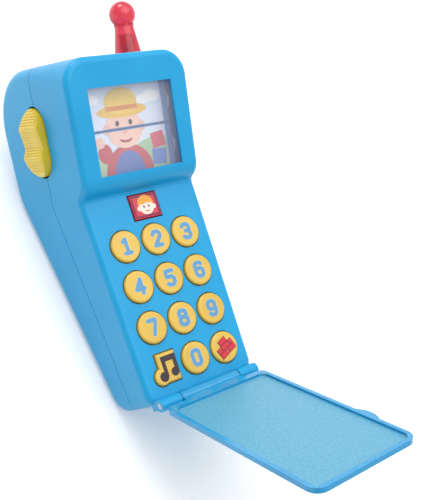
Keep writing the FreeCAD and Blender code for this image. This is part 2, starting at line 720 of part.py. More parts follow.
def grille_spots():
    """A hole in the middle and two rings of six and twelve round it."""
    spots = [(0.0, 0.0)]
    for ring in (1, 2):
        for step in range(6 * ring):
            angle = math.radians(60.0 / ring * step)
            reach = size("grille_ring") * ring
            spots.append((reach * math.cos(angle), reach * math.sin(angle)))
    return spots


def case_screws(spots):
    """Self-tapping screws from the back, their heads deep in the wells."""
    screws = []
    for spot in spots:
        seat = -size("screw_seat")
        shank = screw_column("screw_shank", spot, "screw_radius", seat, size("screw_bite"))
        head = screw_column("screw_head", spot, "screw_head", seat - size("screw_head_thick"), seat)
        slot = screw_column("screw_recess", spot, 1.0, seat - size("screw_head_thick"),
                            seat - size("screw_head_thick") / 2)
        screws.append(cut("screw_" + spot[0], fuse("screw_blank_" + spot[0], [shank, head]), [slot]))
    return finish("case_screws", group("case_screws", screws), KEYPAD)


# ------------------------------------------------------------- window and drums

def screen_pane():
    pane = box("pane", ("-window_half_x - pane_lap + 0.1", "-window_half_y - pane_lap + 0.1",
                        "-pane_set_back - pane_thick"),
               ("2 * (window_half_x + pane_lap - 0.1)", "2 * (window_half_y + pane_lap - 0.1)", "pane_thick"))
    return finish("screen_pane", pane, HEAD)


def drum_frame():
    """An open box that carries the axles; it presses the pane into its rebate."""
    front = "-pane_set_back - pane_thick"
    outer = box("frame_block", ("frame_left", "-frame_half_y", "-frame_back"),
                ("frame_right - frame_left", "2 * frame_half_y", "frame_back + %s" % front))
    inner = box("frame_inside", ("frame_left + frame_wall - 0.1", "-frame_half_y + frame_wall", "-frame_back - 1"),
                ("frame_right - frame_left - 2 * frame_wall + 0.1", "2 * (frame_half_y - frame_wall)",
                 "frame_back + 2"))
    bores = [round_bar("axle_bore", "axle_radius + running_gap", 60, (-30, "%s * drum_pitch / 2" % side,
                                                                      "-drum_depth"), "x")
             for side in ("1", "-1")]
    frame = cut("drum_frame", outer, [inner] + bores)
    return finish("drum_frame", frame, HEAD)


FACE_OUT = Rotation(Vector(0, 0, -1), Vector(), Vector(1, 0, 0), "ZXY")


def drum_prism(name, axis_y):
    """A three-sided bar along X with one flat to the window."""
    prism = doc.addObject("Part::Prism", name)
    prism.Polygon = 3
    bind(prism, "Circumradius", "drum_side / sqrt(3)")
    bind(prism, "Height", "drum_right - drum_left")
    prism.Placement.Rotation = FACE_OUT
    for path, expression in zip("xyz", ("drum_left", axis_y, "-drum_depth")):
        bind(prism, "Placement.Base." + path, expression)
    return prism


def picture_labels(name, axis_y):
    """A picture label on each of a drum's three sides."""
    axis = Vector(0, value(axis_y), -size("drum_depth"))
    labels = []
    for side in range(3):
        label = box("%s_%d" % (name, side + 1),
                    ("drum_left", "%s - label_height / 2" % axis_y, "-drum_depth + drum_side / (2 * sqrt(3))"),
                    ("label_right - drum_left", "label_height", "label_thick"))
        turned = doc.addObject("Part::Compound", "%s_side_%d" % (name, side + 1))
        turned.Links = [label]
        turned.Placement = Placement(Vector(), Rotation(Vector(1, 0, 0), 120 * side), axis)
        labels.append(turned)
    return finish(name, group(name, labels), HEAD)


def involute_gear(name, axis_y):
    """A spur pinion whose gap faces the rack behind it."""
    teeth = int(size("pinion_teeth"))
    module = size("tooth_module")
    pressure = math.radians(size("pressure_angle"))
    pitch = value("pinion_radius")
    base = pitch * math.cos(pressure)
    tip = pitch + 0.9 * module
    root = pitch - 1.05 * module
    half_tooth = (math.pi * module / 2 - size("backlash") / 2) / (2 * pitch)
    spread = math.tan(pressure) - pressure

    def flank(radius):
        if radius <= base:
            return half_tooth + spread
        bend = math.acos(base / radius)
        return half_tooth + spread - (math.tan(bend) - bend)

    radii = [root] + [max(root, base) + (tip - max(root, base)) * step / 5 for step in range(6)]
    points = []
    for tooth in range(teeth):
        centre = 2 * math.pi * (tooth + 0.5) / teeth
        for radius in radii:
            points.append((radius, centre - flank(radius)))
        for radius in reversed(radii):
            points.append((radius, centre + flank(radius)))
    corners = [Vector(r * math.cos(a), r * math.sin(a), 0) for r, a in points]
    face = Part.Face(Part.makePolygon(corners + corners[:1]))
    length = size("gear_right") - size("gear_left")
    solid = face.extrude(Vector(0, 0, length))
    bore = Part.makeCylinder(size("axle_radius"), length)
    gear = doc.addObject("Part::Feature", name)
    gear.Shape = solid.cut(bore)
    gear.Placement = Placement(Vector(size("gear_left"), value(axis_y), -size("drum_depth")), FACE_OUT)
    return finish(name, gear, HEAD)


def drums():
    for name, side in (("upper", "1"), ("lower", "-1")):
        axis_y = "%s * drum_pitch / 2" % side
        start = "gear_left - 0.6"
        axle = round_bar(name + "_axle", "axle_radius", "frame_right - gear_left + 0.4",
                         (start, axis_y, "-drum_depth"), "x")
        finish(name + "_drum_axle", axle, HEAD)
        bore = round_bar(name + "_bore", "axle_radius", 60, (-30, axis_y, "-drum_depth"), "x")
        drum = cut(name + "_drum", drum_prism(name + "_prism", axis_y), [bore])
        finish(name + "_drum", drum, HEAD)
        picture_labels(name + "_drum_pictures", axis_y)
        involute_gear(name + "_drum_pinion", axis_y)
        disc = round_bar(name + "_disc", "disc_radius", "disc_thick", ("drum_right + 0.3", axis_y, "-drum_depth"), "x")
        disc_bore = round_bar(name + "_disc_bore", "axle_radius", 60, (-30, axis_y, "-drum_depth"), "x")
        finish(name + "_drum_disc", cut(name + "_end_disc", disc, [disc_bore]), HEAD)


def rack_outline():
    """The toothed bar seen from the side, as points up the bar and depth behind the window."""
    module, pressure = size("tooth_module"), math.radians(size("pressure_angle"))
    pitch_line = -(size("drum_depth") + value("pinion_radius"))
    half = (math.pi * module / 2 - size("backlash") / 2) / 2
    addendum, dedendum = 0.8 * module, 1.15 * module
    steps = 12
    points = []
    for tooth in range(-steps, steps + 1):
        middle = tooth * math.pi * module
        for along, rise in ((-half - dedendum * math.tan(pressure), -dedendum),
                            (-half + addendum * math.tan(pressure), addendum),
                            (half - addendum * math.tan(pressure), addendum),
                            (half + dedendum * math.tan(pressure), -dedendum)):
            points.append(Vector(0, middle + along, pitch_line + rise))
    back = pitch_line - dedendum - size("rack_bar")
    points.append(Vector(0, points[-1].y, back))
    points.append(Vector(0, points[0].y, back))
    return points, back


def rack_slider():
    """A toothed bar beside the drums and the plate behind them that the rocker's arm moves."""
    points, back = rack_outline()
    width = size("gear_right") - size("gear_left")
    teeth = doc.addObject("Part::Feature", "rack_teeth")
    teeth.Shape = Part.Face(Part.makePolygon(points + points[:1])).extrude(Vector(width, 0, 0))
    teeth.Placement = Placement(Vector(size("gear_left"), 0, 0), Rotation())
    web = box("rack_web", ("gear_left", -5, "-frame_back - 0.1 - rack_plate"),
              ("gear_right - gear_left", 10, "frame_back + 0.1 + rack_plate + %.6f" % (back + 0.5)))
    plate = box("rack_plate", ("gear_left", "rocker_y - rack_plate_half", "-frame_back - 0.1 - rack_plate"),
                ("6 - gear_left", "2 * rack_plate_half", "rack_plate"))
    arm_slot = box("arm_slot", (-2.6, "rocker_y - pivot_radius - running_gap", "-frame_back - 5"),
                   (4.6, "2 * (pivot_radius + running_gap)", 10))
    slider = cut("rack_slider", fuse("rack_blank", [teeth, web, plate]), [arm_slot])
    return finish("rack_slider", slider, HEAD)


# ------------------------------------------------------------------- thumb rocker

def thumb_rocker():
    """A two-humped thumb piece, with a pivot boss and an arm that reaches the rack plate."""
    width, half = "rocker_half_width", "rocker_half"
    skirt = "-pivot_in - 0.8"
    profile = [
        ("rocker_y + rocker_half", skirt),
        ("rocker_y + rocker_half", "-side_x - 0.8"),
        ("rocker_y + 0.45 * rocker_half", "-side_x - rocker_stand"),
        ("rocker_y - 0.13 * rocker_half", "-side_x - rocker_dip"),
        ("rocker_y - 0.42 * rocker_half", "-side_x - rocker_stand"),
        ("rocker_y - 0.86 * rocker_half", "-side_x - 0.55 * rocker_stand"),
        ("rocker_y - rocker_half", "-side_x - 0.8"),
        ("rocker_y - rocker_half", skirt),
    ]
    humps = pad_outline("rocker_humps", "XY_Plane", [(x, y) for y, x in profile], "2 * rocker_half_width",
                        symmetric=True)
    humps.Placement.Base = Vector(0, 0, -size("rocker_depth"))
    start = "-side_x - 12"
    span = "(%s - %s)" % (half, width)
    plan = fuse("rocker_plan", [
        box("rocker_plan_middle", (start, "rocker_y - %s" % span, "-rocker_depth - %s" % width),
            (16, "2 * %s" % span, "2 * %s" % width))] + [
        round_bar("rocker_plan_end", width, 16, (start, "rocker_y + %s * %s" % (sign, span), "-rocker_depth"), "x")
        for sign in ("1", "-1")])
    thumb = common("rocker_thumb", humps, plan)
    arm_front = "-frame_back - 0.1 - rack_plate - 0.6"
    boss = round_bar("rocker_boss", "pivot_radius + 1.7", 5, ("-pivot_in", "rocker_y", arm_front + " - 5"))
    neck = box("rocker_neck", ("-pivot_in - 2.5", "rocker_y - 3.2", arm_front + " - 5"), (2.5, 6.4, 5))
    arm = box("rocker_arm", ("-pivot_in", "rocker_y - arm_half", arm_front + " - 2.4"),
              ("pivot_in", "2 * arm_half", 2.4))
    arm_end = round_bar("rocker_arm_end", "arm_half", 2.4, (0, "rocker_y", arm_front + " - 2.4"))
    stud = round_bar("rocker_stud", "pivot_radius", "rack_plate + 0.6 + 1", (0, "rocker_y", arm_front + " - 1"))
    bore = round_bar("rocker_bore", "pivot_radius + running_gap", 20, ("-pivot_in", "rocker_y", "-rocker_depth - 10"))
    rocker = cut("thumb_rocker", fuse("rocker_blank", [thumb, boss, neck, arm, arm_end, stud]), [bore])
    return finish("thumb_rocker", rocker, HEAD)


def rocker_pivot():
    """A steel pin held by a bracket against the inside of the casing."""
    behind = "rocker_depth + rocker_half_width + 3.6"
    pin = round_bar("pivot_pin", "pivot_radius", behind + " - frame_back - 1.9",
                    ("-pivot_in", "rocker_y", "-(%s)" % behind))
    return finish("rocker_pivot_pin", pin, HEAD)


# --------------------------------------------------------------------------- keys

def keys():
    """Each key is a cap with a flange behind the casing and a plunger over its dome."""
    for name, kind, x, y in key_list():
        rise, edge = ("face_key_rise", "face_key_edge") if kind == "face" else ("key_rise", "key_edge")
        foot = "seat_z - key_flange_thick"
        cap = key_prism(name + "_cap", kind, x, y, "0", foot, "%s - seat_z + key_flange_thick" % rise)
        doc.recompute()
        top = soften_level(name + "_soft", cap, edge, size(rise))
        flange = key_prism(name + "_flange", kind, x, y, "key_flange", foot, "key_flange_thick")
        stem = round_bar(name + "_stem", "key_stem_radius", "seat_z - key_flange_thick - stem_foot",
                         (x, y, "stem_foot"))
        finish(name, fuse(name, [top, flange, stem]), KEYPAD)


def board_clearances(name, low, height):
    return [round_bar("%s_%s" % (name, spot[0]), "boss_radius + 0.5", height, (spot[2], spot[3], low))
            for spot in screw_spots()[:4]]


def key_mat():
    """A rubber sheet with a dome under every key."""
    sheet = box("mat_sheet", ("-board_half", "-foot_reach + 5", "board_top"),
                ("2 * board_half", "foot_reach - 5 + face_key_y + 5", "mat_thick"))
    mat = cut("key_mat", sheet, board_clearances("mat_clear", "board_top - 1", 4))
    finish("key_mat", mat, KEYPAD)
    domes = [round_bar("dome_" + name, "key_stem_radius + 1.2", "dome_height", (x, y, "mat_top"),
                       radius_end="key_stem_radius") for name, kind, x, y in key_list()]
    return finish("key_domes", group("key_domes", domes), KEYPAD)


def circuit_board():
    board = box("board_sheet", ("-board_half", "-foot_reach + 5", "board_top - board_thick"),
                ("2 * board_half", "foot_reach - 5 + face_key_y + 5", "board_thick"))
    finish("circuit_board", cut("circuit_board", board, board_clearances("board_clear", "board_top - 4", 6)), KEYPAD)
    blob = round_bar("chip_blob", 5.5, 1.4, (4.0, 12.0, "board_top - board_thick"), "-z", radius_end=4.2)
    return finish("sound_chip", blob, KEYPAD)


# -------------------------------------------------------------------------- cover

def flip_cover():
    """A thin panel in a raised rim, with a hinge barrel and a finger tab on one side."""
    low_z, thick = "-cover_inner", "cover_outer + cover_inner"
    body = pad_outline("cover_block", "XY_Plane", [
        ("-cover_half", "cover_start"), ("cover_half", "cover_start"),
        ("cover_half", "cover_reach"), ("-cover_half", "cover_reach")], thick)
    for name, x, y, radius in (("heel_left", "-cover_half", "cover_start", "cover_heel"),
                               ("heel_right", "cover_half", "cover_start", "cover_heel"),
                               ("corner_left", "-cover_half", "cover_reach", "cover_corner"),
                               ("corner_right", "cover_half", "cover_reach", "cover_corner")):
        place = Vector(value(x), value(y), 0)
        edges = ["Edge%d" % number for number, edge in enumerate(body.Shape.Edges, start=1)
                 if all(abs(v.X - place.x) < 1e-3 and abs(v.Y - place.y) < 1e-3 for v in edge.Vertexes)]
        round_edges(body, "cover_" + name, edges, radius)
    body.Placement.Base = Vector(0, 0, -size("cover_inner"))
    tray = box("cover_tray", ("-cover_half + cover_rim", "cover_start + cover_near_rim", "-cover_inner - 1"),
               ("2 * (cover_half - cover_rim)", "cover_reach - cover_start - cover_rim - cover_near_rim",
                "cover_inner + 1 + cover_outer - cover_panel"))
    doc.recompute()
    inner = soften("cover_tray_soft", tray, pick_edges(tray.Shape, size("cover_corner") - size("cover_rim"), lambda e:
                   abs(e.Vertexes[0].X - e.Vertexes[1].X) + abs(e.Vertexes[0].Y - e.Vertexes[1].Y) < 1e-6))
    radius = "(tab_half * tab_half + tab_out * tab_out) / (2 * tab_out)"
    bulge = round_bar("tab_round", radius, "cover_outer + cover_inner - 0.3",
                      ("cover_half + tab_out - %s" % radius, "tab_centre", "-cover_inner + 0.3"))
    strip = box("tab_strip", ("cover_half - 1", "tab_centre - 2 * tab_half", -5), ("tab_out + 5", "4 * tab_half", 10))
    tab = common("finger_tab", bulge, strip)
    barrel = round_bar("cover_barrel", "barrel_radius", "2 * barrel_half", ("-barrel_half", 0, 0), "x")
    leaf = box("cover_leaf", ("-barrel_half", 0, "-cover_inner"),
               ("2 * barrel_half", "cover_start + 1", "cover_outer + cover_inner"))
    bore = round_bar("barrel_bore", "pin_radius + running_gap", "2 * barrel_half + 2", ("-barrel_half - 1", 0, 0), "x")
    panel = cut("cover_panel", body, [inner])
    cover = cut("flip_cover", fuse("cover_blank", [panel, tab, barrel, leaf]), [bore])
    finish("flip_cover", cover, COVER)
    pin = round_bar("hinge_rod", "pin_radius", "2 * lug_end", ("-lug_end", "-foot_reach", "hinge_out"), "x")
    return finish("hinge_pin", pin, KEYPAD)


# ------------------------------------------------------------------------ antenna

def antenna():
    """A clear red stalk with a ball on top; its root is flanged behind the top wall."""
    where = ("antenna_x", "-antenna_depth")
    flange_top = "top_half - antenna_root"
    flange = round_bar("mast_flange", "antenna_flange", "flange_thick",
                       (where[0], flange_top + " - flange_thick", where[1]), "y")
    root = round_bar("mast_root", "antenna_foot_radius", "antenna_root", (where[0], flange_top, where[1]), "y")
    stalk = round_bar("mast_stalk", "antenna_foot_radius", "antenna_stalk", (where[0], "top_half", where[1]), "y",
                      radius_end="antenna_neck_radius")
    collar = round_bar("mast_collar", "antenna_neck_radius + 0.35", 0.9,
                       (where[0], "top_half + antenna_stalk - 0.4", where[1]), "y")
    ball = doc.addObject("Part::Sphere", "mast_ball")
    bind(ball, "Radius", "antenna_ball")
    for path, expression in zip("xyz", (where[0], "top_half + antenna_ball_up", where[1])):
        bind(ball, "Placement.Base." + path, expression)
    well = round_bar("lamp_well", "lamp_radius + 0.2", 18, (where[0], flange_top + " - 2.6", where[1]), "y")
    mast = cut("antenna", fuse("mast_blank", [flange, root, stalk, collar, ball]), [well])
    finish("antenna", mast, HEAD)
    bulb = round_bar("lamp_body", "lamp_radius", 11.6, (where[0], flange_top + " - 2.6", where[1]), "y")
    tip = doc.addObject("Part::Sphere", "lamp_tip")
    bind(tip, "Radius", "lamp_radius")
    for path, expression in zip("xyz", (where[0], flange_top + " + 9", where[1])):
        bind(tip, "Placement.Base." + path, expression)
    return finish("antenna_lamp", fuse("antenna_lamp", [bulb, tip]), HEAD)


# ---------------------------------------------------- batteries and loudspeaker

def battery_box():
    """A tray above the door, open downwards, with a lip that takes the door's screw."""
    width, length = "(bay_width + 2 * bay_wall)", "(bay_length + 2 * bay_wall)"
    outer = box("bay_block", ("-%s / 2" % width, "bay_middle - %s / 2" % length, "wall"),
                (width, length, "bay_height + bay_wall"))
    lip = box("bay_lip", (-8, "bay_middle + bay_length / 2", "wall"), (16, "door_tail + 3", 4))
    inner = box("bay_inside", ("-bay_width / 2", "bay_middle - bay_length / 2", "wall - 1"),
                ("bay_width", "bay_length", "bay_height + 1"))
    pilot = round_bar("door_pilot", "screw_radius", 8, (0, "bay_middle + bay_length / 2 + door_tail - 4", 0))
    return finish("battery_box", cut("battery_box", fuse("bay_blank", [outer, lip]), [inner, pilot]), ROW)


def battery_door():
    door = box("door_plate",
               ("-bay_width / 2 - door_lap + door_gap", "bay_middle - bay_length / 2 - door_lap + door_gap", 0),
               ("bay_width + 2 * (door_lap - door_gap)", "bay_length + door_lap + door_tail - 2 * door_gap",
                "door_thick"))
    spot = (0, "bay_middle + bay_length / 2 + door_tail - 4")
    sink = round_bar("door_sink", "screw_head + 0.2", 1.2, spot + (-0.1,))
    way = round_bar("door_way", "screw_radius + 0.2", 6, spot + (-1,))
    finish("battery_door", cut("battery_door", door, [sink, way]), ROW)
    head = round_bar("door_screw_head", "screw_head", 0.9, spot + (0.2,))
    shank = round_bar("door_screw_shank", "screw_radius", 4.6, spot + (1.0,))
    return finish("battery_door_screw", fuse("battery_door_screw", [head, shank]), ROW)


def cells():
    """Two AA cells side by side, laid opposite ways round, with their contacts."""
    for name, side, nub_at in (("left", "-1", 1), ("right", "1", -1)):
        x = "%s * cell_pitch / 2" % side
        start = "bay_middle - cell_length / 2"
        can = round_bar(name + "_can", "cell_radius", "cell_length", (x, start, "cell_lift"), "y")
        nub_start = start + (" + cell_length" if nub_at > 0 else " - 1.3")
        nub = round_bar(name + "_nub", 2.75, 1.3, (x, nub_start, "cell_lift"), "y")
        finish("battery_" + name, fuse("battery_" + name, [can, nub]), ROW)
    plates = []
    for end in ("1", "-1"):
        start = "bay_middle + %s * (bay_length / 2 - 0.1 - contact_thick / 2) - contact_thick / 2" % end
        plates.append(box("contact_plate", ("-bay_width / 2 + 1.5", start, "cell_lift - 5"),
                          ("bay_width - 3", "contact_thick", 9)))
    finish("battery_contacts", group("battery_contacts", plates), ROW)
    springs = [coil("contact_coil_left", -1, -1), coil("contact_coil_right", 1, 1)]
    return finish("battery_springs", group("battery_springs", springs), ROW)


def coil(name, side, end):
    """A coil spring between a contact plate and the flat end of a cell."""
    wire, radius = size("spring_wire"), size("spring_radius")
    room = (size("bay_length") - size("cell_length")) / 2 - size("contact_thick") - size("spring_gap")
    rise = room - 2 * wire
    line = Part.makeLongHelix(rise / size("spring_turns"), rise, radius)
    ring = Part.Wire(Part.makeCircle(wire, Vector(radius, 0, 0), Vector(0, 1, 0)))
    solid = Part.Wire(line.Edges).makePipeShell([ring], True, True)
    spring = doc.addObject("Part::Feature", name)
    spring.Shape = solid
    face = size("bay_middle") + end * (size("cell_length") / 2 + wire)
    spring.Placement = Placement(Vector(side * size("cell_pitch") / 2, face, size("cell_lift")),
                                 TURNS["y"] if end > 0 else Rotation(Vector(1, 0, 0), 90))
    return spring


def loudspeaker():
    """Basket, paper cone and magnet behind the grille."""
    ring = cut("speaker_basket", round_bar("basket_rim", "speaker_radius", 4, (0, 0, "-wall - 4.3")), [
        round_bar("basket_inside", "speaker_radius - 1.2", 6, (0, 0, "-wall - 3.5"))])
    finish("speaker_basket", ring, SPEAKER)
    outer = round_bar("cone_outer", 4.2, 2.4, (0, 0, "-wall - 3.4"), radius_end="speaker_radius - 1.6")
    inner = round_bar("cone_inner", 3.9, 2.4, (0, 0, "-wall - 3.0"), radius_end="speaker_radius - 1.9")
    finish("speaker_cone", cut("speaker_cone", outer, [inner]), SPEAKER)
    magnet = round_bar("speaker_magnet", 7.5, 3.6, (0, 0, "-wall - 7.9"))
    return finish("speaker_magnet", magnet, SPEAKER)


# -------------------------------------------------------------------------- build

def build():
    outside, hollow, core = casing_solids()
    front = seam_tool("front_of_seam", "0")
    spots = screw_spots()
    slot = rocker_slot()
    front_shell(outside, hollow, front, spots, slot)
    rear_shell(outside, hollow, core, front, spots, slot)
    case_screws(spots)
    screen_pane()
    drum_frame()
    drums()
    rack_slider()
    thumb_rocker()
    rocker_pivot()
    keys()
    key_mat()
    circuit_board()
    flip_cover()
    antenna()
    battery_box()
    battery_door()
    cells()
    loudspeaker()
    doc.recompute()


def check_and_write():
    """Refuse any failed object or broken shape, then write one STEP file for each node."""
    for thing in doc.Objects:
        if "Invalid" in thing.State or "Error" in thing.State:
            raise RuntimeError("%s failed: %s" % (thing.Label, thing.State))
    for node, solid in NODES:
        shape = solid.Shape
        if shape.isNull() or not shape.isValid() or not shape.Solids:
            raise RuntimeError("%s has no sound shape" % node)
    os.makedirs("parts", exist_ok=True)
    for node, solid in NODES:
        solid.Shape.exportStep("parts/%s.step" % node)
        print("%-20s %d solid(s) %10.1f mm3" % (node, len(solid.Shape.Solids), solid.Shape.Volume))


build()
check_and_write()
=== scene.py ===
# %% [markdown]
# # A toy mobile phone
# The phone lies on its flat back with its flip cover standing open. The moulded shapes come
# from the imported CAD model. This lesson adds what a moulder, a printer and a decorator would
# add: surface finishes, numerals, printed pictures, ribs, and the light to see them by.

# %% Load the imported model
import bpy
import bmesh
import json
import math
from mathutils import Euler, Matrix, Vector


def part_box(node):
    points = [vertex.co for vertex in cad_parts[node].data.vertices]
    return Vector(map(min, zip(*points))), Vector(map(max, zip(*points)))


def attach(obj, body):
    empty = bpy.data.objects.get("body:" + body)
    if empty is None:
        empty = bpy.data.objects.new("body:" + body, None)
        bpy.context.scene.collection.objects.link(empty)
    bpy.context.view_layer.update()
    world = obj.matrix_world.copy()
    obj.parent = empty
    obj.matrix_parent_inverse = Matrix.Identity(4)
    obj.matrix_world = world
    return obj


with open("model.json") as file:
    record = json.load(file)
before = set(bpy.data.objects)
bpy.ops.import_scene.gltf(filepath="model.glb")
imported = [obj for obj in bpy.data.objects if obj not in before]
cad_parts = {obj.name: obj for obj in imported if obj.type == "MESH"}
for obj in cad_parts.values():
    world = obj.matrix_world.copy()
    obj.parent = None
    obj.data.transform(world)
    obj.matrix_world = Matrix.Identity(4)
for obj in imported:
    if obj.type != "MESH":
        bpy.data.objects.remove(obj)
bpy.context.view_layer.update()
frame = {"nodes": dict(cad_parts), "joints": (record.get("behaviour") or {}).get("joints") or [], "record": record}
nodes = frame["nodes"]
joints = {joint["name"]: joint for joint in frame["joints"]}
MM = 0.001

# %% [markdown]
# ## Two working planes
# Printing lies on two planes: the keypad, and the window in the head. The joints already know
# where those planes are. A key presses straight into the keypad, and the rack slides straight up
# the head, so their axes give the slopes. Each plane becomes one matrix that takes millimetres on
# that plane to metres in the model.

# %% Planes of the keypad and the head
FOOT_TO_HINGE = Vector((0.0, -38.6, 3.2)) * MM
DRUM_BEHIND_WINDOW = 13.7 * MM
press = Vector(joints["key_5_press"]["axis"])
slide = Vector(joints["rack_slide"]["axis"])
keypad_slope = math.atan2(press.y, -press.z)
head_lean = math.atan2(slide.z, slide.y)
hinge = Vector(joints["cover_hinge"]["pos_m"])
drum_axis = [Vector(joints[name + "_drum_spin"]["pos_m"]) for name in ("upper", "lower")]
KEYPAD = (Matrix.Translation(hinge) @ Matrix.Rotation(keypad_slope, 4, "X")
          @ Matrix.Translation(-FOOT_TO_HINGE))
HEAD = (Matrix.Translation((drum_axis[0] + drum_axis[1]) / 2) @ Matrix.Rotation(head_lean, 4, "X")
        @ Matrix.Translation((0, 0, DRUM_BEHIND_WINDOW)))
print("keypad slope", round(math.degrees(keypad_slope), 2), "head lean", round(math.degrees(head_lean), 2))

# %% [markdown]
# ## Helpers for colour and nodes
# Colours are picked as sRGB hex values and turned to linear light once, here. A material is a
# small tree of nodes, and one helper adds a node with its settings and its links. Everything else
# is said in the material itself.

# %% Colour and node helpers
def linear(code):
    """An sRGB hex colour as linear red, green, blue and alpha."""
    channels = [int(code[i:i + 2], 16) / 255 for i in (1, 3, 5)]
    return tuple(c / 12.92 if c <= 0.04045 else ((c + 0.055) / 1.055) ** 2.4 for c in channels) + (1.0,)


def add_node(tree, kind, settings=None, **links):
    """A node of that kind.

    Settings are properties or unlinked sockets. Links are sockets fed by outputs: s0 is the first
    socket, and an underscore in a name stands for a space.
    """
    node = tree.nodes.new(kind)
    for key, content in (settings or {}).items():
        if isinstance(key, str) and hasattr(node, key):
            setattr(node, key, content)
        else:
            node.inputs[key].default_value = content
    for key, output in links.items():
        tree.links.new(output, node.inputs[int(key[1:]) if key[1:].isdigit() else key.replace("_", " ")])
    return node


def blank_material(name):
    """A material whose tree holds only the coordinates of the piece it is on; the caller adds the output node."""
    material = bpy.data.materials.new(name)
    material.use_nodes = True
    tree = material.node_tree
    tree.nodes.clear()
    place = add_node(tree, "ShaderNodeTexCoord").outputs["Object"]
    return material, tree, place


def ramp(tree, factor, stops):
    """A colour ramp through (position, hex) stops."""
    node = add_node(tree, "ShaderNodeValToRGB", s0=factor)
    while len(node.color_ramp.elements) < len(stops):
        node.color_ramp.elements.new(0.5)
    for element, (position, code) in zip(node.color_ramp.elements, stops):
        element.position = position
        element.color = linear(code)
    return node.outputs["Color"]


print("helpers ready; mid grey is", [round(c, 3) for c in linear("#808080")])

# %% [markdown]
# ## Moulded plastic
# Nearly every piece is injection-moulded ABS. The mould is spark-eroded, so the surface has a
# very fine pebble, and the pigment is never perfectly even. Both are noise: a coarse one, some
# 20 mm across, shifts the colour a little, and a fine one, half a millimetre across and so drawn
# somewhat coarser than the real grain, feeds the bump and breaks up the gloss.

# %% Moulded ABS
ABS_IOR = 1.54
GRAIN = 0.5 * MM
CLOUD = 20.0 * MM


def moulded(name, deep, pale, gloss=0.34, grain=0.12, scatter=0.0, shine=0.5):
    """Moulded plastic between two close tints, with a fine pebbled surface."""
    material, tree, place = blank_material(name)
    cloud = add_node(tree, "ShaderNodeTexNoise", {"Scale": 1 / CLOUD, "Detail": 3.0}, Vector=place)
    pebble = add_node(tree, "ShaderNodeTexNoise", {"Scale": 1 / GRAIN, "Detail": 2.0}, Vector=place)
    tint = ramp(tree, cloud.outputs["Fac"], [(0.3, deep), (0.7, pale)])
    rough = add_node(tree, "ShaderNodeMapRange", {"To Min": gloss - 0.05, "To Max": gloss + 0.07},
                     Value=pebble.outputs["Fac"])
    bump = add_node(tree, "ShaderNodeBump", {"Strength": grain, "Distance": 0.05 * MM},
                    Height=pebble.outputs["Fac"])
    shader = add_node(tree, "ShaderNodeBsdfPrincipled",
                      {"IOR": ABS_IOR, "Specular IOR Level": shine, "Subsurface Weight": scatter,
                       "Subsurface Radius": (1.0, 1.0, 1.0), "Subsurface Scale": 0.6 * MM},
                      Base_Color=tint, Roughness=rough.outputs["Result"], Normal=bump.outputs["Normal"])
    add_node(tree, "ShaderNodeOutputMaterial", Surface=shader.outputs["BSDF"])
    return material


SHELL_BLUE = moulded("blue moulded ABS", "#0F95CB", "#149BCF", gloss=0.36, shine=0.32)
KEY_YELLOW = moulded("yellow moulded ABS for the keys", "#D2AA3E", "#DEB850", gloss=0.3, scatter=0.15)
ROCKER_YELLOW = moulded("yellow moulded ABS for the rocker", "#D6B81C", "#E4CA30", gloss=0.3, scatter=0.15)
KEY_RED = moulded("red moulded ABS", "#C22338", "#D02C42", gloss=0.28)
INNER_WHITE = moulded("white moulded ABS for inner pieces", "#E6E6E0", "#F2F2EC", gloss=0.45)
DRUM_BLUE = moulded("mid-blue moulded ABS for the drums", "#5A8CCB", "#6A9AD6", gloss=0.4)
MAT_RUBBER = moulded("grey silicone rubber", "#55595F", "#62666C", gloss=0.75, grain=0.25)
CHIP_RESIN = moulded("black potting resin", "#0E0E10", "#17171A", gloss=0.3)
CONE_PAPER = moulded("black pressed paper", "#1A1A1A", "#262626", gloss=0.85, grain=0.5)
print("moulded finishes", len([m for m in bpy.data.materials if "ABS" in m.name]))

# %% [markdown]
# ## Frosted and clear plastic
# The flip cover is one moulding of tinted polycarbonate. Its rim is polished, and its panel is
# frosted by a coarser texture in the mould, about a millimetre from bump to bump. A Mapping node
# turns the model's coordinates into the cover's own, by the angle at which the cover stands open,
# so a mask can tell the panel from the rim.

# %% The flip cover's tinted plastic
COVER_OPEN = math.radians(114.4)
COVER_HALF = 24.8 * MM
COVER_NEAR = 4.3 * MM
COVER_FAR = 85.6 * MM
COVER_RIM = 1.8 * MM
COVER_NEAR_RIM = 2.8 * MM
RIM_BLEND = 0.3 * MM
FROST = 1.1 * MM


def between(tree, along, low, high, soft):
    """One where the coordinate lies between two values, fading to zero over a soft edge."""
    rise = add_node(tree, "ShaderNodeMapRange", {"From Min": low, "From Max": low + soft}, Value=along)
    fall = add_node(tree, "ShaderNodeMapRange", {"From Min": high, "From Max": high - soft}, Value=along)
    both = add_node(tree, "ShaderNodeMath", {"operation": "MULTIPLY"}, s0=rise.outputs["Result"],
                    s1=fall.outputs["Result"])
    return both.outputs["Value"]


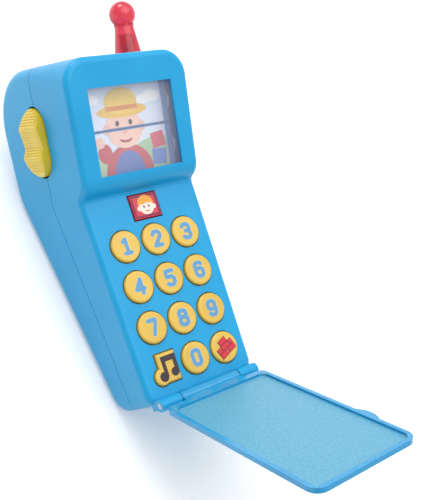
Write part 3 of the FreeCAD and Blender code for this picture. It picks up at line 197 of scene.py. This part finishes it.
def cover_plastic():
    """Tinted plastic with a polished rim and a frosted panel."""
    material, tree, place = blank_material("tinted polycarbonate, part frosted")
    turn = keypad_slope + COVER_OPEN
    shift = Matrix.Rotation(-turn, 3, "X") @ -hinge
    own = add_node(tree, "ShaderNodeMapping", {"Location": shift, "Rotation": (-turn, 0, 0)}, Vector=place)
    axes = add_node(tree, "ShaderNodeSeparateXYZ", Vector=own.outputs["Vector"])
    across = between(tree, axes.outputs["X"], -COVER_HALF + COVER_RIM, COVER_HALF - COVER_RIM, RIM_BLEND)
    along = between(tree, axes.outputs["Y"], COVER_NEAR + COVER_NEAR_RIM, COVER_FAR - COVER_RIM, RIM_BLEND)
    panel = add_node(tree, "ShaderNodeMath", {"operation": "MULTIPLY"}, s0=across, s1=along).outputs["Value"]
    frost = add_node(tree, "ShaderNodeTexNoise", {"Scale": 1 / FROST, "Detail": 3.0},
                     Vector=own.outputs["Vector"])
    speck = ramp(tree, frost.outputs["Fac"], [(0.35, "#4E9FBF"), (0.65, "#62ADCB")])
    cloud = add_node(tree, "ShaderNodeTexNoise", {"Scale": 1 / CLOUD}, Vector=place)
    clear = ramp(tree, cloud.outputs["Fac"], [(0.3, "#1494CB"), (0.7, "#229FD4")])
    tint = add_node(tree, "ShaderNodeMix", {"data_type": "RGBA"}, s0=panel, s6=clear, s7=speck)
    rough = add_node(tree, "ShaderNodeMapRange", {"To Min": 0.16, "To Max": 0.42}, Value=panel)
    relief = add_node(tree, "ShaderNodeMath", {"operation": "MULTIPLY"}, s0=panel, s1=frost.outputs["Fac"])
    bump = add_node(tree, "ShaderNodeBump", {"Strength": 0.3, "Distance": 0.1 * MM},
                    Height=relief.outputs["Value"])
    shader = add_node(tree, "ShaderNodeBsdfPrincipled",
                      {"IOR": 1.58, "Transmission Weight": 0.12, "Subsurface Weight": 0.1,
                       "Subsurface Radius": (1.0, 1.0, 1.0), "Subsurface Scale": 0.8 * MM},
                      Base_Color=tint.outputs["Result"], Roughness=rough.outputs["Result"],
                      Normal=bump.outputs["Normal"])
    add_node(tree, "ShaderNodeOutputMaterial", Surface=shader.outputs["BSDF"])
    return material


COVER_BLUE = cover_plastic()
print("cover panel", round(2 * (COVER_HALF - COVER_RIM) / MM, 1), "mm wide inside its rim")

# %% [markdown]
# The window pane and the lamp are water-clear. A thin pane is easiest as a glossy surface that is
# mostly see-through, which also lets the light reach the pictures behind it. The antenna is a thick
# red casting instead, so it bends light like glass and its colour deepens where it is thick.

# %% Clear pane, clear lamp and red antenna
PANE_COVER = 0.1


def clear_plastic(name, tint, opacity):
    """Thin clear plastic with faint smears; opacity is how much of it is seen."""
    material, tree, place = blank_material(name)
    smear = add_node(tree, "ShaderNodeTexNoise", {"Scale": 1 / CLOUD, "Detail": 2.0}, Vector=place)
    rough = add_node(tree, "ShaderNodeMapRange", {"To Min": 0.03, "To Max": 0.09}, Value=smear.outputs["Fac"])
    colour = ramp(tree, smear.outputs["Fac"], [(0.3, tint), (0.7, "#FFFFFF")])
    shader = add_node(tree, "ShaderNodeBsdfPrincipled", {"IOR": 1.49, "Alpha": opacity}, Base_Color=colour,
                      Roughness=rough.outputs["Result"])
    add_node(tree, "ShaderNodeOutputMaterial", Surface=shader.outputs["BSDF"])
    return material


def red_casting():
    """A thick see-through casting with faint swirls."""
    material, tree, place = blank_material("see-through red acrylic")
    swirl = add_node(tree, "ShaderNodeTexNoise", {"Scale": 1 / (6 * MM), "Detail": 2.0}, Vector=place)
    colour = ramp(tree, swirl.outputs["Fac"], [(0.3, "#D62C42"), (0.7, "#E4485A")])
    rough = add_node(tree, "ShaderNodeMapRange", {"To Min": 0.08, "To Max": 0.16}, Value=swirl.outputs["Fac"])
    shader = add_node(tree, "ShaderNodeBsdfPrincipled",
                      {"IOR": 1.49, "Transmission Weight": 0.68, "Subsurface Weight": 0.2,
                       "Subsurface Radius": (1.0, 0.25, 0.2), "Subsurface Scale": 2.0 * MM},
                      Base_Color=colour, Roughness=rough.outputs["Result"])
    add_node(tree, "ShaderNodeOutputMaterial", Surface=shader.outputs["BSDF"])
    return material


PANE_CLEAR = clear_plastic("clear styrene pane", "#E8E8FA", PANE_COVER)
LAMP_CLEAR = clear_plastic("clear epoxy lamp", "#F4F4F0", 0.7)
ANTENNA_RED = red_casting()
print("pane lets through", round(100 * (1 - PANE_COVER)), "per cent")

# %% [markdown]
# ## Metals, board and battery jackets
# The screws, axles and pins are bright steel wire and bar, drawn through a die, which leaves fine
# lines along them. The contacts and springs are nickel-plated, and the loudspeaker's magnet is
# dark sintered ferrite.

# %% Drawn steel and nickel
LINES = 0.15 * MM


def drawn_metal(name, dull, bright, gloss):
    """Metal between two tints, with fine lines along X."""
    material, tree, place = blank_material(name)
    stretch = add_node(tree, "ShaderNodeMapping", {"Scale": (0.1, 1.0, 1.0)}, Vector=place)
    line = add_node(tree, "ShaderNodeTexNoise", {"Scale": 1 / LINES, "Detail": 2.0},
                    Vector=stretch.outputs["Vector"])
    colour = ramp(tree, line.outputs["Fac"], [(0.3, dull), (0.7, bright)])
    rough = add_node(tree, "ShaderNodeMapRange", {"To Min": gloss - 0.06, "To Max": gloss + 0.1},
                     Value=line.outputs["Fac"])
    bump = add_node(tree, "ShaderNodeBump", {"Strength": 0.15, "Distance": 0.02 * MM},
                    Height=line.outputs["Fac"])
    shader = add_node(tree, "ShaderNodeBsdfPrincipled", {"Metallic": 1.0}, Base_Color=colour,
                      Roughness=rough.outputs["Result"], Normal=bump.outputs["Normal"])
    add_node(tree, "ShaderNodeOutputMaterial", Surface=shader.outputs["BSDF"])
    return material


BRIGHT_STEEL = drawn_metal("bright drawn steel", "#8E9094", "#C4C6CA", 0.3)
NICKEL = drawn_metal("nickel plate", "#B4B0A6", "#D8D4C8", 0.2)
FERRITE = drawn_metal("sintered ferrite", "#2E2E30", "#48484C", 0.6)
print("metal finishes made")

# %% [markdown]
# The circuit board is green solder mask over copper tracks, drawn as a brick pattern with fine
# joints. A cell's jacket is dark with a copper-coloured band at one end, placed along the cell by
# a ramp.

# %% Board and cells
TRACKS = 2.5 * MM
CELL_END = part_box("battery_left")[1].y
JACKET_LENGTH = 52 * MM


def solder_mask():
    """Green lacquer with paler tracks showing through."""
    material, tree, place = blank_material("green solder mask over copper")
    track = add_node(tree, "ShaderNodeTexBrick",
                     {"Scale": 1 / TRACKS, "Mortar Size": 0.06, "Color1": linear("#1E6B3C"),
                      "Color2": linear("#2A7C48"), "Mortar": linear("#5E9A4E")}, Vector=place)
    shader = add_node(tree, "ShaderNodeBsdfPrincipled", {"Roughness": 0.35},
                      Base_Color=track.outputs["Color"])
    add_node(tree, "ShaderNodeOutputMaterial", Surface=shader.outputs["BSDF"])
    return material


def cell_jacket():
    """A dark jacket with a copper-coloured band at one end."""
    material, tree, place = blank_material("printed cell jacket")
    axes = add_node(tree, "ShaderNodeSeparateXYZ", Vector=place)
    along = add_node(tree, "ShaderNodeMapRange", {"From Min": CELL_END - JACKET_LENGTH, "From Max": CELL_END},
                     Value=axes.outputs["Y"])
    colour = ramp(tree, along.outputs["Result"], [(0.0, "#22262C"), (0.74, "#22262C"), (0.77, "#C07A3C"),
                                                  (1.0, "#C98A4A")])
    shader = add_node(tree, "ShaderNodeBsdfPrincipled", {"Roughness": 0.25, "Metallic": 0.4},
                      Base_Color=colour)
    add_node(tree, "ShaderNodeOutputMaterial", Surface=shader.outputs["BSDF"])
    return material


BOARD_GREEN = solder_mask()
JACKET = cell_jacket()
print("board and cells made")

# %% [markdown]
# ## Give every moulded piece its finish
# The CAD pieces keep their shape and only get a finish. A node's finish follows from the record's
# slot, with a few pieces named one by one, such as the rocker, whose yellow is stronger than the
# keys'.

# %% Finishes on the CAD pieces
SLOT_FINISH = {
    "blue_shell": SHELL_BLUE, "frosted_blue": COVER_BLUE, "clear_plastic": PANE_CLEAR,
    "yellow_plastic": KEY_YELLOW, "red_plastic": KEY_RED, "red_translucent": ANTENNA_RED,
    "white_plastic": INNER_WHITE, "drum_blue": DRUM_BLUE, "grey_rubber": MAT_RUBBER,
    "green_board": BOARD_GREEN, "black_resin": CHIP_RESIN, "steel": BRIGHT_STEEL, "nickel": NICKEL,
    "cell_jacket": JACKET, "cone_paper": CONE_PAPER, "ferrite": FERRITE,
}
NODE_FINISH = {"thumb_rocker": ROCKER_YELLOW, "antenna_lamp": LAMP_CLEAR}
node_slot = {part["node"]: part["material_slot"] for part in frame["record"]["subparts"]}


def finish(piece, material):
    """That material, and no other, on the whole piece."""
    piece.data.materials.clear()
    piece.data.materials.append(material)


for name, piece in nodes.items():
    finish(piece, NODE_FINISH.get(name) or SLOT_FINISH.get(node_slot[name], INNER_WHITE))
print("finished", len(nodes), "CAD pieces")

# %% [markdown]
# ## Printing ink
# Numerals, symbols and pictures are pad-printed: a thin film of ink with a crisp edge and a gloss
# of its own. Each is modelled as a real film a few hundredths of a millimetre proud, because that
# keeps its edge sharp at any distance. The ink is never quite even, so its tint wanders slightly.

# %% Ink and film helpers
INK_GRAIN = 0.8 * MM
FILM_BASE = 0.05
INKS = {}


def ink(code):
    """A pad-printing ink; each colour is mixed once and kept."""
    if code in INKS:
        return INKS[code]
    material, tree, place = blank_material("printing ink " + code.strip("#").lower())
    mottle = add_node(tree, "ShaderNodeTexNoise", {"Scale": 1 / INK_GRAIN, "Detail": 2.0}, Vector=place)
    shade = add_node(tree, "ShaderNodeMapRange", {"To Min": 0.92, "To Max": 1.06},
                     Value=mottle.outputs["Fac"])
    tint = add_node(tree, "ShaderNodeHueSaturation", {"Color": linear(code)}, Value=shade.outputs["Result"])
    shader = add_node(tree, "ShaderNodeBsdfPrincipled", {"Roughness": 0.38, "Specular IOR Level": 0.4},
                      Base_Color=tint.outputs["Color"])
    add_node(tree, "ShaderNodeOutputMaterial", Surface=shader.outputs["BSDF"])
    INKS[code] = material
    return material


def outline(points):
    """A flat bmesh face with those corners, in millimetres."""
    film = bmesh.new()
    film.faces.new([film.verts.new((x, y, 0)) for x, y in points])
    return film


def disc(x, y, across, up=None, corners=28):
    """A flat ellipse, in millimetres."""
    film = bmesh.new()
    bmesh.ops.create_circle(film, cap_ends=True, segments=corners, radius=0.5)
    bmesh.ops.transform(film, verts=film.verts, matrix=Matrix.Translation((x, y, 0))
                        @ Matrix.Diagonal((across, up or across, 1, 1)))
    return film


def bar(x, y, wide, high, turn=0.0):
    """A flat rectangle by its middle, in millimetres."""
    film = bmesh.new()
    bmesh.ops.create_grid(film, x_segments=1, y_segments=1, size=0.5)
    bmesh.ops.transform(film, verts=film.verts, matrix=Matrix.Translation((x, y, 0))
                        @ Matrix.Rotation(math.radians(turn), 4, "Z") @ Matrix.Diagonal((wide, high, 1, 1)))
    return film


def trim(film, left, right, foot, head):
    """Cuts a film to a rectangle."""
    for point, normal in (((left, 0, 0), (-1, 0, 0)), ((right, 0, 0), (1, 0, 0)),
                          ((0, foot, 0), (0, -1, 0)), ((0, head, 0), (0, 1, 0))):
        bmesh.ops.bisect_plane(film, geom=film.verts[:] + film.edges[:] + film.faces[:], dist=1e-5,
                               plane_co=point, plane_no=normal, clear_outer=True)


def printed(name, layers, place, body, rise, clip=None, first=FILM_BASE):
    """Films of ink on one plane: each (film, hex) layer lies one rise above the one before."""
    whole = bmesh.new()
    piece = bpy.data.objects.new(name, bpy.data.meshes.new(name))
    shades = []
    for number, (film, code) in enumerate(layers):
        if clip:
            trim(film, *clip)
        if code not in shades:
            shades.append(code)
        bmesh.ops.recalc_face_normals(film, faces=film.faces)
        flipped = [face for face in film.faces if face.normal.z < 0]
        bmesh.ops.reverse_faces(film, faces=flipped)
        top = first + rise * number
        raised = bmesh.ops.extrude_face_region(film, geom=film.faces[:])
        bmesh.ops.translate(film, verts=[v for v in raised["geom"] if isinstance(v, bmesh.types.BMVert)],
                            vec=(0, 0, top))
        bmesh.ops.recalc_face_normals(film, faces=film.faces)
        for face in film.faces:
            face.material_index = shades.index(code)
        flat = bpy.data.meshes.new("film")
        film.to_mesh(flat)
        film.free()
        whole.from_mesh(flat)
        bpy.data.meshes.remove(flat)
    bmesh.ops.transform(whole, verts=whole.verts, matrix=place @ Matrix.Scale(MM, 4))
    whole.to_mesh(piece.data)
    whole.free()
    for code in shades:
        piece.data.materials.append(ink(code))
    bpy.context.scene.collection.objects.link(piece)
    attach(piece, body)
    return piece


print("ink helpers ready")

# %% [markdown]
# ## Numerals on the keys
# The numerals are bold and blocky, with clipped corners. A font could draw them, but a font's
# outline folds over itself when it is made this bold. So each digit is a few straight strokes,
# drawn as bars with a small disc at every corner. The same strokes, slightly wider and paler, are
# printed first and leave a thin light edge.

# %% Numerals
KEY_PITCH = (15.0, 17.2)
KEY_TOP = 1.2
STROKE = 1.75
PALE_EDGE = 0.5
NUMERAL_RISE = 0.003
NUMERAL_BLUE = "#5E96C0"
NUMERAL_PALE = "#DCCB8E"
RING = [(-0.9, 2.9), (0.9, 2.9), (1.75, 2.1), (1.75, -2.1), (0.9, -2.9), (-0.9, -2.9), (-1.75, -2.1),
        (-1.75, 2.1), (-0.9, 2.9)]
SIX = [(1.6, 2.2), (0.8, 2.9), (-0.8, 2.9), (-1.75, 2.1), (-1.75, -2.1), (-0.8, -2.9), (0.8, -2.9),
       (1.75, -2.1), (1.75, -0.4), (0.9, 0.4), (-1.7, 0.4)]
DIGITS = {
    0: [RING],
    1: [[(-1.2, 1.9), (0.1, 2.9), (0.1, -2.9)], [(-1.3, -2.9), (1.5, -2.9)]],
    2: [[(-1.7, 1.9), (-0.9, 2.9), (0.9, 2.9), (1.7, 2.1), (1.7, 0.8), (-1.7, -2.9), (1.7, -2.9)]],
    3: [[(-1.7, 2.2), (-0.9, 2.9), (0.9, 2.9), (1.7, 2.1), (1.7, 0.8), (0.8, 0.1), (1.7, -0.6), (1.7, -2.1),
         (0.9, -2.9), (-0.9, -2.9), (-1.7, -2.2)], [(-0.4, 0.1), (0.8, 0.1)]],
    4: [[(0.9, -2.9), (0.9, 2.9), (-1.8, -1.1), (2.0, -1.1)]],
    5: [[(1.7, 2.9), (-1.6, 2.9), (-1.6, 0.5), (0.8, 0.5), (1.75, -0.3), (1.75, -2.0), (0.8, -2.9),
         (-1.0, -2.9), (-1.7, -2.3)]],
    6: [SIX],
    7: [[(-1.7, 2.9), (1.7, 2.9), (1.5, 1.7), (-0.3, -2.9)]],
    8: [[(-0.8, 0.2), (-1.6, 0.9), (-1.6, 2.2), (-0.8, 2.9), (0.8, 2.9), (1.6, 2.2), (1.6, 0.9),
         (0.8, 0.2), (-0.8, 0.2), (-1.75, -0.6), (-1.75, -2.2), (-0.9, -2.9), (0.9, -2.9), (1.75, -2.2),
         (1.75, -0.6), (0.8, 0.2)]],
    9: [[(-x, -y) for x, y in SIX]],
}


def strokes(lines, wide):
    """Bars along each line and a disc at each corner."""
    films = []
    for line in lines:
        for (x0, y0), (x1, y1) in zip(line, line[1:]):
            run = math.hypot(x1 - x0, y1 - y0)
            lean = math.degrees(math.atan2(y1 - y0, x1 - x0))
            films.append(bar((x0 + x1) / 2, (y0 + y1) / 2, run, wide, lean))
        films += [disc(x, y, wide, corners=8) for x, y in line]
    return films


def on_keypad(x, y, top):
    """The keypad's plane moved to a spot on it, in millimetres."""
    return KEYPAD @ Matrix.Translation((x * MM, y * MM, top * MM))


def key_centre(digit):
    """Column and row of a digit on the keypad, in millimetres."""
    if digit == 0:
        return 0.0, -1.5 * KEY_PITCH[1]
    return ((digit - 1) % 3 - 1) * KEY_PITCH[0], (1.5 - (digit - 1) // 3) * KEY_PITCH[1]


for digit in range(10):
    x, y = key_centre(digit)
    layers = [(film, NUMERAL_PALE) for film in strokes(DIGITS[digit], STROKE + PALE_EDGE)]
    layers += [(film, NUMERAL_BLUE) for film in strokes(DIGITS[digit], STROKE)]
    printed("numeral_%d" % digit, layers, on_keypad(x, y, KEY_TOP), "key_%d" % digit,
            NUMERAL_RISE)
print("numerals printed on ten keys")

# %% [markdown]
# ## Symbols on the other keys
# The note key carries a dark pair of beamed notes: one beam, two stems and two note heads. The key
# has the same outline, a little larger, so it shows as a yellow border.

# %% Note symbol
NOTE_DARK = "#3B2B36"
NOTE_RISE = 0.01
beam = bar(-13.2, -21.9, 6.9, 2.3)
stems = [bar(-15.75, -25.2, 1.7, 7.4), bar(-10.55, -24.6, 1.6, 6.2)]
heads = [disc(-17.1, -28.7, 4.1, 4.0), disc(-11.6, -28.0, 3.7, 3.6)]
printed("note_symbol", [(film, NOTE_DARK) for film in [beam] + stems + heads],
        on_keypad(0, 0, KEY_TOP), "note_key", NOTE_RISE)
print("note symbol printed")

# %% [markdown]
# The last round key carries a little pile of bricks. Each brick is a dark bar with a slightly
# smaller red bar on it, which leaves dark joints between the bricks.

# %% Brick symbol
BRICK_RED = "#CF3044"
BRICK_DARK = "#8E1E30"
BRICK_TURN = 24.0
BRICK_LENGTH = 4.5
BRICK_HEIGHT = 2.4
HALF_BRICK = 2.2
BRICK_JOINT = 0.5
SYMBOL_RISE = 0.012


def brick(x, y, wide=BRICK_LENGTH):
    """One brick: a dark rim with a red face on it, turned with the pile."""
    turned = Matrix.Rotation(math.radians(BRICK_TURN), 2) @ Vector((x, y))
    rim = bar(turned.x, turned.y, wide, BRICK_HEIGHT, BRICK_TURN)
    front = bar(turned.x + 0.12, turned.y + 0.14, wide - BRICK_JOINT, BRICK_HEIGHT - BRICK_JOINT, BRICK_TURN)
    return [(rim, BRICK_DARK), (front, BRICK_RED)]


pile = (brick(-2.35, -2.3) + brick(2.35, -2.3) + brick(0, 0.1) + brick(3.5, 0.1, HALF_BRICK)
        + brick(-3.5, 0.1, HALF_BRICK) + brick(0.4, 2.5))
printed("brick_symbol", pile, on_keypad(KEY_PITCH[0], -1.5 * KEY_PITCH[1], KEY_TOP), "brick_key",
        SYMBOL_RISE)
print("brick symbol printed with", len(pile), "films")

# %% [markdown]
# The wide key at the top carries a plain smiling child's face in a dark frame. It is drawn from
# discs and bars, each over the one before, and the mouth is a red disc partly covered by skin.

# %% Face symbol
FACE_KEY_Y = 40.4
FACE_KEY_TOP = 0.6
FACE_FIELD = (12.3, 9.5)
SKIN = "#FFDCD0"
HAIR = "#EBA23C"
EYE_DARK = "#33242A"
LIP_RED = "#B8283C"
RIM_DARK = "#7C1B46"
RIM = 0.8
rim_x, rim_y = (FACE_FIELD[0] - RIM) / 2, (FACE_FIELD[1] - RIM) / 2
face = [(bar(0, side * rim_y, FACE_FIELD[0], RIM), RIM_DARK) for side in (1, -1)]
face += [(bar(side * rim_x, 0, RIM, FACE_FIELD[1]), RIM_DARK) for side in (1, -1)]
face += [(disc(0.3, 0.9, 7.6, 7.2), HAIR), (disc(-3.3, -0.9, 1.9, 2.1), SKIN),
         (disc(3.9, -0.9, 1.9, 2.1), SKIN), (disc(0.3, -0.8, 6.9, 6.0), SKIN),
         (disc(-1.2, 1.7, 4.0, 2.1), HAIR), (disc(1.8, 1.8, 3.6, 1.7), HAIR),
         (disc(-0.9, -0.4, 0.8, 1.0), EYE_DARK), (disc(1.5, -0.4, 0.8, 1.0), EYE_DARK),
         (disc(0.3, -2.1, 2.2, 1.1), LIP_RED), (disc(0.3, -1.8, 2.4, 0.9), SKIN)]
printed("face_symbol", face, on_keypad(0, FACE_KEY_Y, FACE_KEY_TOP), "face_key", SYMBOL_RISE)
print("face symbol printed with", len(face), "films")

# %% [markdown]
# ## Pictures on the drums
# Behind the window two three-sided drums stand one above the other, and each side of each drum
# carries half of a picture on a paper label. When the rocker turns both drums a third of a turn,
# the next picture comes round. A picture is drawn once across the whole window and then trimmed
# to each label; only its place on the drum differs.

# %% Picture shapes
LABEL_X = (-19.5, 19.1)
LABEL_HALF = 8.75
SIDE_MARGIN = 0.2
END_MARGIN = 0.1
PICTURE_SIZE = (40, 38)
PICTURE_BASE = 0.02
DRUM_SIDE = 18.4
DRUM_OUT = DRUM_SIDE / (2 * math.sqrt(3))
LABEL_THICK = 0.25
DRUM_PITCH = 18.85
SKY = "#DFEAF8"


def child_picture():
    """A child in a sun hat in front of a garden, with toy blocks."""
    return [(bar(0, 0, *PICTURE_SIZE), SKY), (disc(14, -16, 34, 22), "#A9CBA0"),
            (disc(-16, -18, 30, 20), "#B9D6A8"),
            (disc(14, 12, 9, 5), "#FFFFFF"), (disc(10, 11, 7, 4), "#FFFFFF"),
            (disc(-15, 13, 8, 4), "#FFFFFF"),
            (bar(14.5, -6.5, 6.5, 6.5, 8), "#D8485A"), (bar(14.2, -13.6, 7, 6.5, -4), "#5C84CC"),
            (disc(-1, -17.5, 23, 22), "#C93C46"), (disc(-1, -19, 15, 20), "#4A6FB8"),
            (disc(-11.8, -9, 6.5, 8), "#C93C46"), (disc(-13.5, -4.5, 4.4, 4.4), "#F7C9B4"),
            (disc(-1, 0.5, 17.5, 17), "#F9CDB8"), (disc(-9.4, 0.3, 3.6, 4.4), "#F3BDA6"),
            (disc(7.4, 0.3, 3.6, 4.4), "#F3BDA6"), (disc(-1, 7.4, 24, 5.4), "#F0C23E"),
            (disc(-1, 11.2, 15.5, 11), "#F6D04C"), (bar(-1, 8.6, 15.2, 1.8), "#E08A3C"),
            (disc(-4.2, 2.4, 1.7, 2.3), "#3A3038"), (disc(2.2, 2.4, 1.7, 2.3), "#3A3038"),
            (disc(-1, -1.0, 2.6, 2.2), "#F0AC98"), (disc(-1, -4.3, 6.0, 2.8), "#A93442"),
            (disc(-1, -3.5, 6.2, 2.3), "#F9CDB8")]


def house_picture():
    """A house under the sun."""
    return [(bar(0, 0, *PICTURE_SIZE), "#BFE0F2"), (disc(0, -18, 56, 18), "#8FC27E"),
            (disc(13, 12, 8, 8), "#F7D24A"),
            (bar(-3, -5, 18, 14), "#F0E2C0"), (outline([(-15, 1.5), (9, 1.5), (-3, 12)]), "#C8483E"),
            (bar(-6.5, -7.5, 4.5, 9), "#7A5A3C"), (bar(1.5, -3.5, 5, 5), "#7FB2E0")]


def boat_picture():
    """A sailing boat on the sea."""
    return [(bar(0, 0, *PICTURE_SIZE), "#D8ECF8"), (bar(0, -13, PICTURE_SIZE[0], 14), "#4F92CF"),
            (disc(-12, 12, 7, 7), "#F7D24A"),
            (outline([(-11, -4), (11, -4), (7, -10), (-7, -10)]), "#C8483E"), (bar(0, 3, 0.9, 15), "#7A5A3C"),
            (outline([(1.2, -2), (1.2, 10), (10, -2)]), "#F6F2E6"),
            (outline([(-1.2, -2), (-1.2, 8), (-7, -2)]), "#F0C23E")]


for drum, sign in (("upper", 1), ("lower", -1)):
    middle = sign * DRUM_PITCH / 2
    for side, picture in enumerate((child_picture, house_picture, boat_picture)):
        lift = Matrix.Translation((0, middle * MM, -DRUM_BEHIND_WINDOW))
        turn = Matrix.Rotation(math.radians(120 * side), 4, "X")
        out = Matrix.Translation((0, -middle * MM, (DRUM_OUT + LABEL_THICK) * MM))
        clip = (LABEL_X[0] + SIDE_MARGIN, LABEL_X[1] - SIDE_MARGIN,
                middle - LABEL_HALF + END_MARGIN, middle + LABEL_HALF - END_MARGIN)
        printed("%s_picture_%d" % (drum, side + 1), picture(), HEAD @ lift @ turn @ out, drum + "_drum",
                SYMBOL_RISE, clip=clip, first=PICTURE_BASE)
print("pictures printed on six labels")

# %% [markdown]
# ## Ribs on the thumb rocker
# The rocker is ribbed for grip: bold ribs on the slope up to the upper crest and on the rise to
# the lower crest, and finer ones in the hollow and at the bottom. Each rib is a thin rod, half
# sunk into the thumb face, and its length follows the rocker's rounded plan.

# %% Ribs
ROCKER_Y = -0.9
ROCKER_DEPTH = 32.0
ROCKER_HALF = 14.3
ROCKER_HALF_WIDTH = 8.2
SIDE_FACE = 28.88
CREST = 3.9
DIP = 2.4
FACE_END = 0.8
BOLD_RIB = 0.44
LOW_RIB = 0.36
FINE_RIB = 0.32
RIB_MARGIN = 1.0
FACE_LINE = [(ROCKER_Y + ROCKER_HALF, FACE_END), (ROCKER_Y + 0.45 * ROCKER_HALF, CREST),
             (ROCKER_Y - 0.13 * ROCKER_HALF, DIP), (ROCKER_Y - 0.42 * ROCKER_HALF, CREST),
             (ROCKER_Y - 0.86 * ROCKER_HALF, 0.55 * CREST)]


def rib_run(ribs, start, end, count, radius):
    """Evenly spaced ribs on one straight stretch of the thumb face."""
    (y0, out0), (y1, out1) = start, end
    for step in range(count):
        part = (step + 0.6) / count
        y, out = y0 + (y1 - y0) * part, out0 + (out1 - out0) * part
        past = max(0.0, abs(y - ROCKER_Y) - (ROCKER_HALF - ROCKER_HALF_WIDTH))
        reach = math.sqrt(max(0.2, ROCKER_HALF_WIDTH ** 2 - past ** 2)) - RIB_MARGIN
        rod = bmesh.ops.create_cone(ribs, cap_ends=True, segments=10, radius1=radius, radius2=radius,
                                    depth=2 * reach)
        bmesh.ops.translate(ribs, verts=rod["verts"], vec=(-SIDE_FACE - out, y, -ROCKER_DEPTH))


ribs = bmesh.new()
rib_run(ribs, FACE_LINE[0], FACE_LINE[1], 7, BOLD_RIB)
rib_run(ribs, FACE_LINE[1], FACE_LINE[2], 7, FINE_RIB)
rib_run(ribs, FACE_LINE[2], FACE_LINE[3], 4, BOLD_RIB)
rib_run(ribs, FACE_LINE[3], FACE_LINE[4], 5, LOW_RIB)
bmesh.ops.transform(ribs, verts=ribs.verts, matrix=HEAD @ Matrix.Scale(MM, 4))
rocker_ribs = bpy.data.objects.new("rocker_ribs", bpy.data.meshes.new("rocker_ribs"))
ribs.to_mesh(rocker_ribs.data)
print("ribs on the rocker:", len(ribs.verts) // 20)
ribs.free()
bpy.context.scene.collection.objects.link(rocker_ribs)
finish(rocker_ribs, ROCKER_YELLOW)
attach(rocker_ribs, "rocker")

# %% [markdown]
# ## Floor, light and camera
# The phone lies on a plain pale floor of matt paper. The paper glows very slightly, which lifts
# the shadow on it.

# %% Floor
FLOOR_SIZE = 6.0
PAPER_GLOW = 0.16
floor_mesh = bmesh.new()
bmesh.ops.create_grid(floor_mesh, x_segments=1, y_segments=1, size=FLOOR_SIZE / 2)
floor = bpy.data.objects.new("floor", bpy.data.meshes.new("floor"))
floor_mesh.to_mesh(floor.data)
floor_mesh.free()
bpy.context.scene.collection.objects.link(floor)
paper, tree, place = blank_material("matt studio paper")
fibre = add_node(tree, "ShaderNodeTexNoise", {"Scale": 1 / (3 * MM)}, Vector=place)
shade = ramp(tree, fibre.outputs["Fac"], [(0.3, "#F4F4F4"), (0.7, "#F8F8F8")])
sheet = add_node(tree, "ShaderNodeBsdfPrincipled",
                 {"Roughness": 0.95, "Specular IOR Level": 0.1, "Emission Strength": PAPER_GLOW},
                 Base_Color=shade, Emission_Color=shade)
add_node(tree, "ShaderNodeOutputMaterial", Surface=sheet.outputs["BSDF"])
finish(floor, paper)
print("floor", FLOOR_SIZE, "m across")

# %% [markdown]
# A very large soft light overhead and a bright sky keep the shadows faint, as in a product shot.
# The sky dims toward the rocker side, so that side reads darker than the front. A smaller soft
# light beyond the top draws the long highlights on the rounded edges.

# %% Sky and lights
SKY_STRENGTH = 0.86
SKY_LEFT = 0.5
sky = bpy.data.worlds.new("even sky")
sky.use_nodes = True
sky.node_tree.nodes.clear()
heading = add_node(sky.node_tree, "ShaderNodeTexCoord")
across = add_node(sky.node_tree, "ShaderNodeSeparateXYZ", Vector=heading.outputs["Generated"])
falloff = add_node(sky.node_tree, "ShaderNodeMapRange",
                   {"From Min": -0.9, "From Max": 0.1, "To Min": SKY_LEFT, "To Max": SKY_STRENGTH},
                   Value=across.outputs["X"])
glow = add_node(sky.node_tree, "ShaderNodeBackground", {"Color": (1.0, 1.0, 1.0, 1.0)},
                Strength=falloff.outputs["Result"])
add_node(sky.node_tree, "ShaderNodeOutputWorld", Surface=glow.outputs["Background"])
bpy.context.scene.world = sky


def soft_light(name, place, aim, size, power):
    """A square soft light that faces a point."""
    lamp = bpy.data.lights.new(name, "AREA")
    lamp.size = size
    lamp.energy = power
    holder = bpy.data.objects.new(name, lamp)
    holder.location = place
    holder.rotation_euler = (Vector(aim) - Vector(place)).to_track_quat("-Z", "Y").to_euler()
    bpy.context.scene.collection.objects.link(holder)
    return holder


soft_light("overhead light", (0.1, 0.1, 1.2), (0, 0, 0.03), 1.2, 9.0)
soft_light("key light", (-0.12, 0.75, 0.55), (0, 0.03, 0.05), 0.35, 2.6)
print("lights", len(bpy.data.lights))

# %% [markdown]
# The camera looks down across the phone from its rocker side, rolled so that the phone stands
# almost upright in the frame.

# %% Camera
CAMERA_PLACE = Vector((-181.81, -104.44, 315.5)) * MM
CAMERA_TURN = Euler([math.radians(angle) for angle in (30.781, -26.356, -29.170)], "XYZ")
LENS = 59.24
camera = bpy.data.objects.new("camera", bpy.data.cameras.new("camera"))
camera.location = CAMERA_PLACE
camera.rotation_euler = CAMERA_TURN
camera.data.lens = LENS
camera.data.sensor_width = 36.0
camera.data.clip_start = 0.01
bpy.context.scene.collection.objects.link(camera)
bpy.context.scene.camera = camera
bpy.context.scene.view_settings.view_transform = "Standard"
print("camera", round(CAMERA_PLACE.length / MM), "mm from the middle of the resting face")
